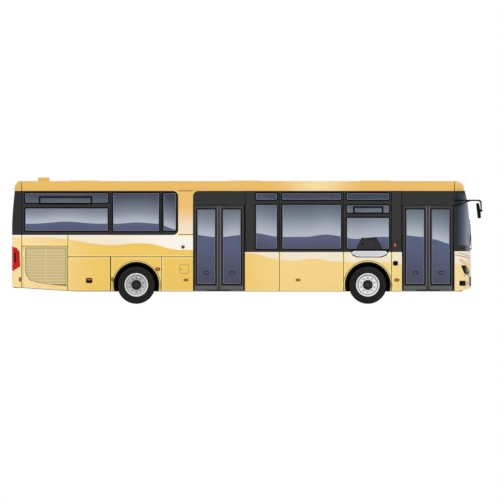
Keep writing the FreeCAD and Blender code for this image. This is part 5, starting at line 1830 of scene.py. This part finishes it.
@dataclass
class Saloon(Works):
    """Padded seat covers, the driver's chair and the handrails' fittings."""
    lean: float = math.atan2(0.104, 0.57)
    fill: float = 0.85
    pew: float = 1.130
    podest: float = 0.830
    floor: float = 0.350
    ceiling: float = 3.17

    def seats(self) -> list[Point3]:
        """The places of the CAD seats: behind the middle of the pan, on the floor.

        Returns:
            The places, in the order of the seats' numbers.
        """
        aisle, wall = 0.5289, 0.9589
        spots = [(-5.48, 0.473 * n, self.pew) for n in range(-2, 3)]
        for x in (-4.275, -2.14):
            spots += [(x, y * side, self.podest) for y in (aisle, wall) for side in (-1, 1)]
        spots += [(-2.92, -wall, self.pew), (-2.92, wall, self.pew)]
        spots += [(x, y, self.floor) for x in (0.605, 1.385, 2.165) for y in (aisle, wall)]
        return spots + [(x, -wall, self.floor) for x in (0.361, 1.141)]

    def pad(self, name: str, form: PadShape, finish: str, spot: Point3,
            *turns: Matrix) -> Piece:
        """Makes one declared pad, turned and then moved to its spot.

        Args:
            name: the piece's name.
            form: its shape.
            finish: name of the finish.
            spot: where it is moved to.
            turns: how it is turned, the last one first.

        Returns:
            The piece.
        """
        shape = bmesh.new()
        move = Matrix.Translation(spot)
        for turn in turns:
            move = move @ turn
        form.add(shape, move)
        piece = self.piece(name, shape, finish, smooth=True)
        return piece

    def chair(self) -> None:
        """Builds the driver's chair: pedestal, cushion, back and head rest."""
        base = bmesh.new()
        slab(base, (4.32, 0.56, 0.60), (4.61, 0.84, 0.66), 0.012)
        slab(base, (4.25, 0.49, 0.905), (4.69, 0.91, 0.945), 0.015)
        for n in range(6):
            z = 0.66 + n * 0.041
            slab(base, (4.345, 0.585, z), (4.585, 0.815, z + 0.036), 0.014, 3)
        pieces = [self.piece("driver_pedestal", base, "moulded_black")]
        upright = (Matrix.Rotation(math.radians(90 - 9.5), 4, "Y"),
                   Matrix.Rotation(math.pi, 4, "Z"))
        for tag, form, spot, turns in (
                ("cushion", PadShape(0.47, 0.48, 0.115, channels=(-0.6, 0.6)),
                 (4.47, 0.70, 0.945), ()),
                ("back", PadShape(0.62, 0.48, 0.10, channels=(-0.6, 0.6)),
                 (4.262, 0.70, 1.36), upright),
                ("head_rest", PadShape(0.16, 0.30, 0.075, channels=()),
                 (4.205, 0.70, 1.74), upright)):
            pieces.append(self.pad(f"driver_{tag}", form, "driver_cloth", spot, *turns))
        corners = [(4.30, 0.93), (4.262, 1.05), (4.165, 1.78), (4.145, 1.78), (4.205, 1.05),
                   (4.235, 0.92)]
        pieces.append(self.sheet("driver_shell", corners, [], (0.50, 0.90), "moulded_black"))
        for piece in pieces:
            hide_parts("driver_seat")

    def rails(self) -> None:
        """Adds flanges at the poles' feet and heads, and a stop button on each pole."""
        poles = [(-1.30, -0.48, self.floor), (0.001, -0.48, self.floor),
                 (-1.78, -0.27, self.podest), (-1.78, 0.27, self.podest),
                 (2.45, -0.43, self.floor), (2.45, 0.26, self.floor),
                 (1.55, 0.26, self.floor), (-3.835, 0.27, self.podest),
                 (-3.835, -0.27, self.podest), (0.741, -0.43, self.floor)]
        rings = [(0.017, 0.030), (0.019, 0.014), (0.040, 0.010), (0.044, 0.004), (0.044, 0.0)]
        count = 24
        flange, button, stud = bmesh.new(), bmesh.new(), bmesh.new()
        for x, y, z in poles:
            for foot, rise in ((z, 1), (self.ceiling, -1)):
                loops = [[flange.verts.new((x + r * math.cos(a), y + r * math.sin(a),
                                            foot + h * rise))
                          for a in (2 * math.pi * k / count for k in range(count))]
                         for r, h in rings]
                for one, two in zip(loops, loops[1:] + loops[:1]):
                    for k in range(count):
                        m = (k + 1) % count
                        flange.faces.new([one[k], one[m], two[m], two[k]])
            for shape, wide, deep, low, high, bevel in (
                    (button, 0.024, 0.026, 1.12, 1.24, 0.010),
                    (stud, 0.030, 0.014, 1.17, 1.20, 0.006)):
                slab(shape, (x - wide, y - deep, z + low), (x + wide, y + deep, z + high),
                     bevel, 3)
        self.piece("pole_flanges", flange, "trim_grey", smooth=True)
        self.piece("stop_boxes", button, "rail_grey")
        self.piece("stop_buttons", stud, "lamp_deep")

    def build(self) -> None:
        """Builds the saloon."""
        tilt = Matrix.Rotation(-0.0415, 4, "Y")
        stand = Matrix.Rotation(math.pi / 2 - self.lean, 4, "Y") @ Matrix.Rotation(
            math.pi, 4, "Z")
        for n, (x, y, z) in enumerate(self.seats()):
            for tag, form, spot, turn in (
                    ("cushion", PadShape(0.36, 0.40, 0.055), (x + 0.036, y, z + 0.4485), tilt),
                    ("back", PadShape(0.50, 0.40, 0.050), (x - 0.2045, y, z + 0.745), stand)):
                self.pad(f"seat_{tag}_{n:02d}", form, "saloon_cloth", spot, turn)
        self.chair()
        self.rails()


DOOR_LEAVES = ("mid_rear", "mid_front", "front_rear", "front_front")
NODES_BY_FINISH: dict[str, Sequence[str]] = {
    "coach_paint": ("nose_mask", "tail_mask", "engine_lid", "roof_caps", "roof",
                    "wall_right_rear", "wall_right_middle", "wall_left", "radiator_door",
                    "service_flap"),
    "gloss_black": ("frames_right", "frames_left", "end_frames", "door_headers"),
    "chassis_black": ("underframe", "front_axle", "rear_axle", "knuckle_left",
                      "knuckle_right"),
    "wheel_silver": ("rim_front_left", "rim_front_right", "rims_rear_left",
                     "rims_rear_right"),
    "seal_rubber": ("seam_seals", "suspension"), "roof_plain": ("roof_fittings",),
    "rear_screen_glass": ("glass_rear",), "front_screen_glass": ("windscreen",),
    "lamp_black": ("front_lamps",), "tail_lens": ("tail_lamps",),
    "speckled_floor": ("floor",), "arch_lining": ("wheel_boxes",),
    "cast_block": ("engine",), "core_alloy": ("radiator",), "mirror_black": ("mirrors",),
    "seat_shell": ("passenger_seats",), "rail_yellow": ("handrails",),
    "trim_grey": ("cab_partition",), "dash_black": ("dashboard",),
    "door_grey": [f"door_{leaf}_leaf" for leaf in DOOR_LEAVES],
    "door_glass": [f"door_{leaf}_glass" for leaf in DOOR_LEAVES],
    "arm_steel": [f"door_{leaf}_arms" for leaf in DOOR_LEAVES],
}


def dress_nodes(finishes: Finishes) -> None:
    """Gives every shown CAD node its finish.

    Args:
        finishes: all materials by name.
    """
    for finish, names in NODES_BY_FINISH.items():
        for name in names:
            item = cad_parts.get(name)
            if item is None:
                LOG.warning("node %s isn't in the frame", name)
                continue
            for slot in item.material_slots:
                slot.material = finishes[finish]
            if not item.material_slots:
                item.data.materials.append(finishes[finish])


class Studio:
    """Plain pale floor, soft light and the camera of the side view."""

    def build(self, finishes: Finishes) -> None:
        """Sets the floor, lights, world and camera.

        Args:
            finishes: all materials by name.
        """
        scene = bpy.context.scene
        shape = bmesh.new()
        bmesh.ops.create_grid(shape, x_segments=2, y_segments=2, size=60.0)
        floor = show("studio_floor", to_mesh("studio_floor", shape))
        floor.data.transform(Matrix.Translation((0.0, 0.0, -0.0005)))
        floor.data.materials.append(finishes["studio_floor"])
        world = bpy.data.worlds.new("soft_white")
        world.use_nodes = True
        nodes, links = world.node_tree.nodes, world.node_tree.links
        sky = nodes["Background"]
        sky.inputs[0].default_value = (1.0, 1.0, 1.0, 1.0)
        level = nodes.new("ShaderNodeMapRange")
        level.inputs["To Min"].default_value = 0.86
        links.new(nodes.new("ShaderNodeLightPath").outputs["Is Camera Ray"],
                  level.inputs["Value"])
        links.new(level.outputs[0], sky.inputs[1])
        scene.world = world
        lamp = bpy.data.lights.new("key", "SUN")
        lamp.energy = 0.5
        lamp.angle = math.radians(40)
        show("key", lamp).rotation_euler = (math.radians(52), 0.0, math.radians(-14))
        lens = bpy.data.cameras.new("side_view")
        lens.type = "ORTHO"
        lens.ortho_scale = 500 * PIXEL
        lens.clip_end = 200.0
        camera = show("side_view", lens)
        camera.location = (px(250), -30.0, py(250))
        camera.rotation_euler = (math.radians(90), 0.0, 0.0)
        scene.camera = camera
        scene.view_settings.view_transform = "Standard"


def main() -> None:
    """Builds the classes in order and reports each piece."""
    logging.basicConfig(level=logging.INFO, format="%(message)s")
    finishes = Finishes()
    dress_nodes(finishes)
    for part in (Glazing(finishes), Wheels(finishes), Flank(finishes), Doors(finishes),
                 Ends(finishes), Saloon(finishes)):
        LOG.info("building %s", type(part).__name__)
        part.build()
    Studio().build(finishes)


if __name__ == "__main__":
    main()
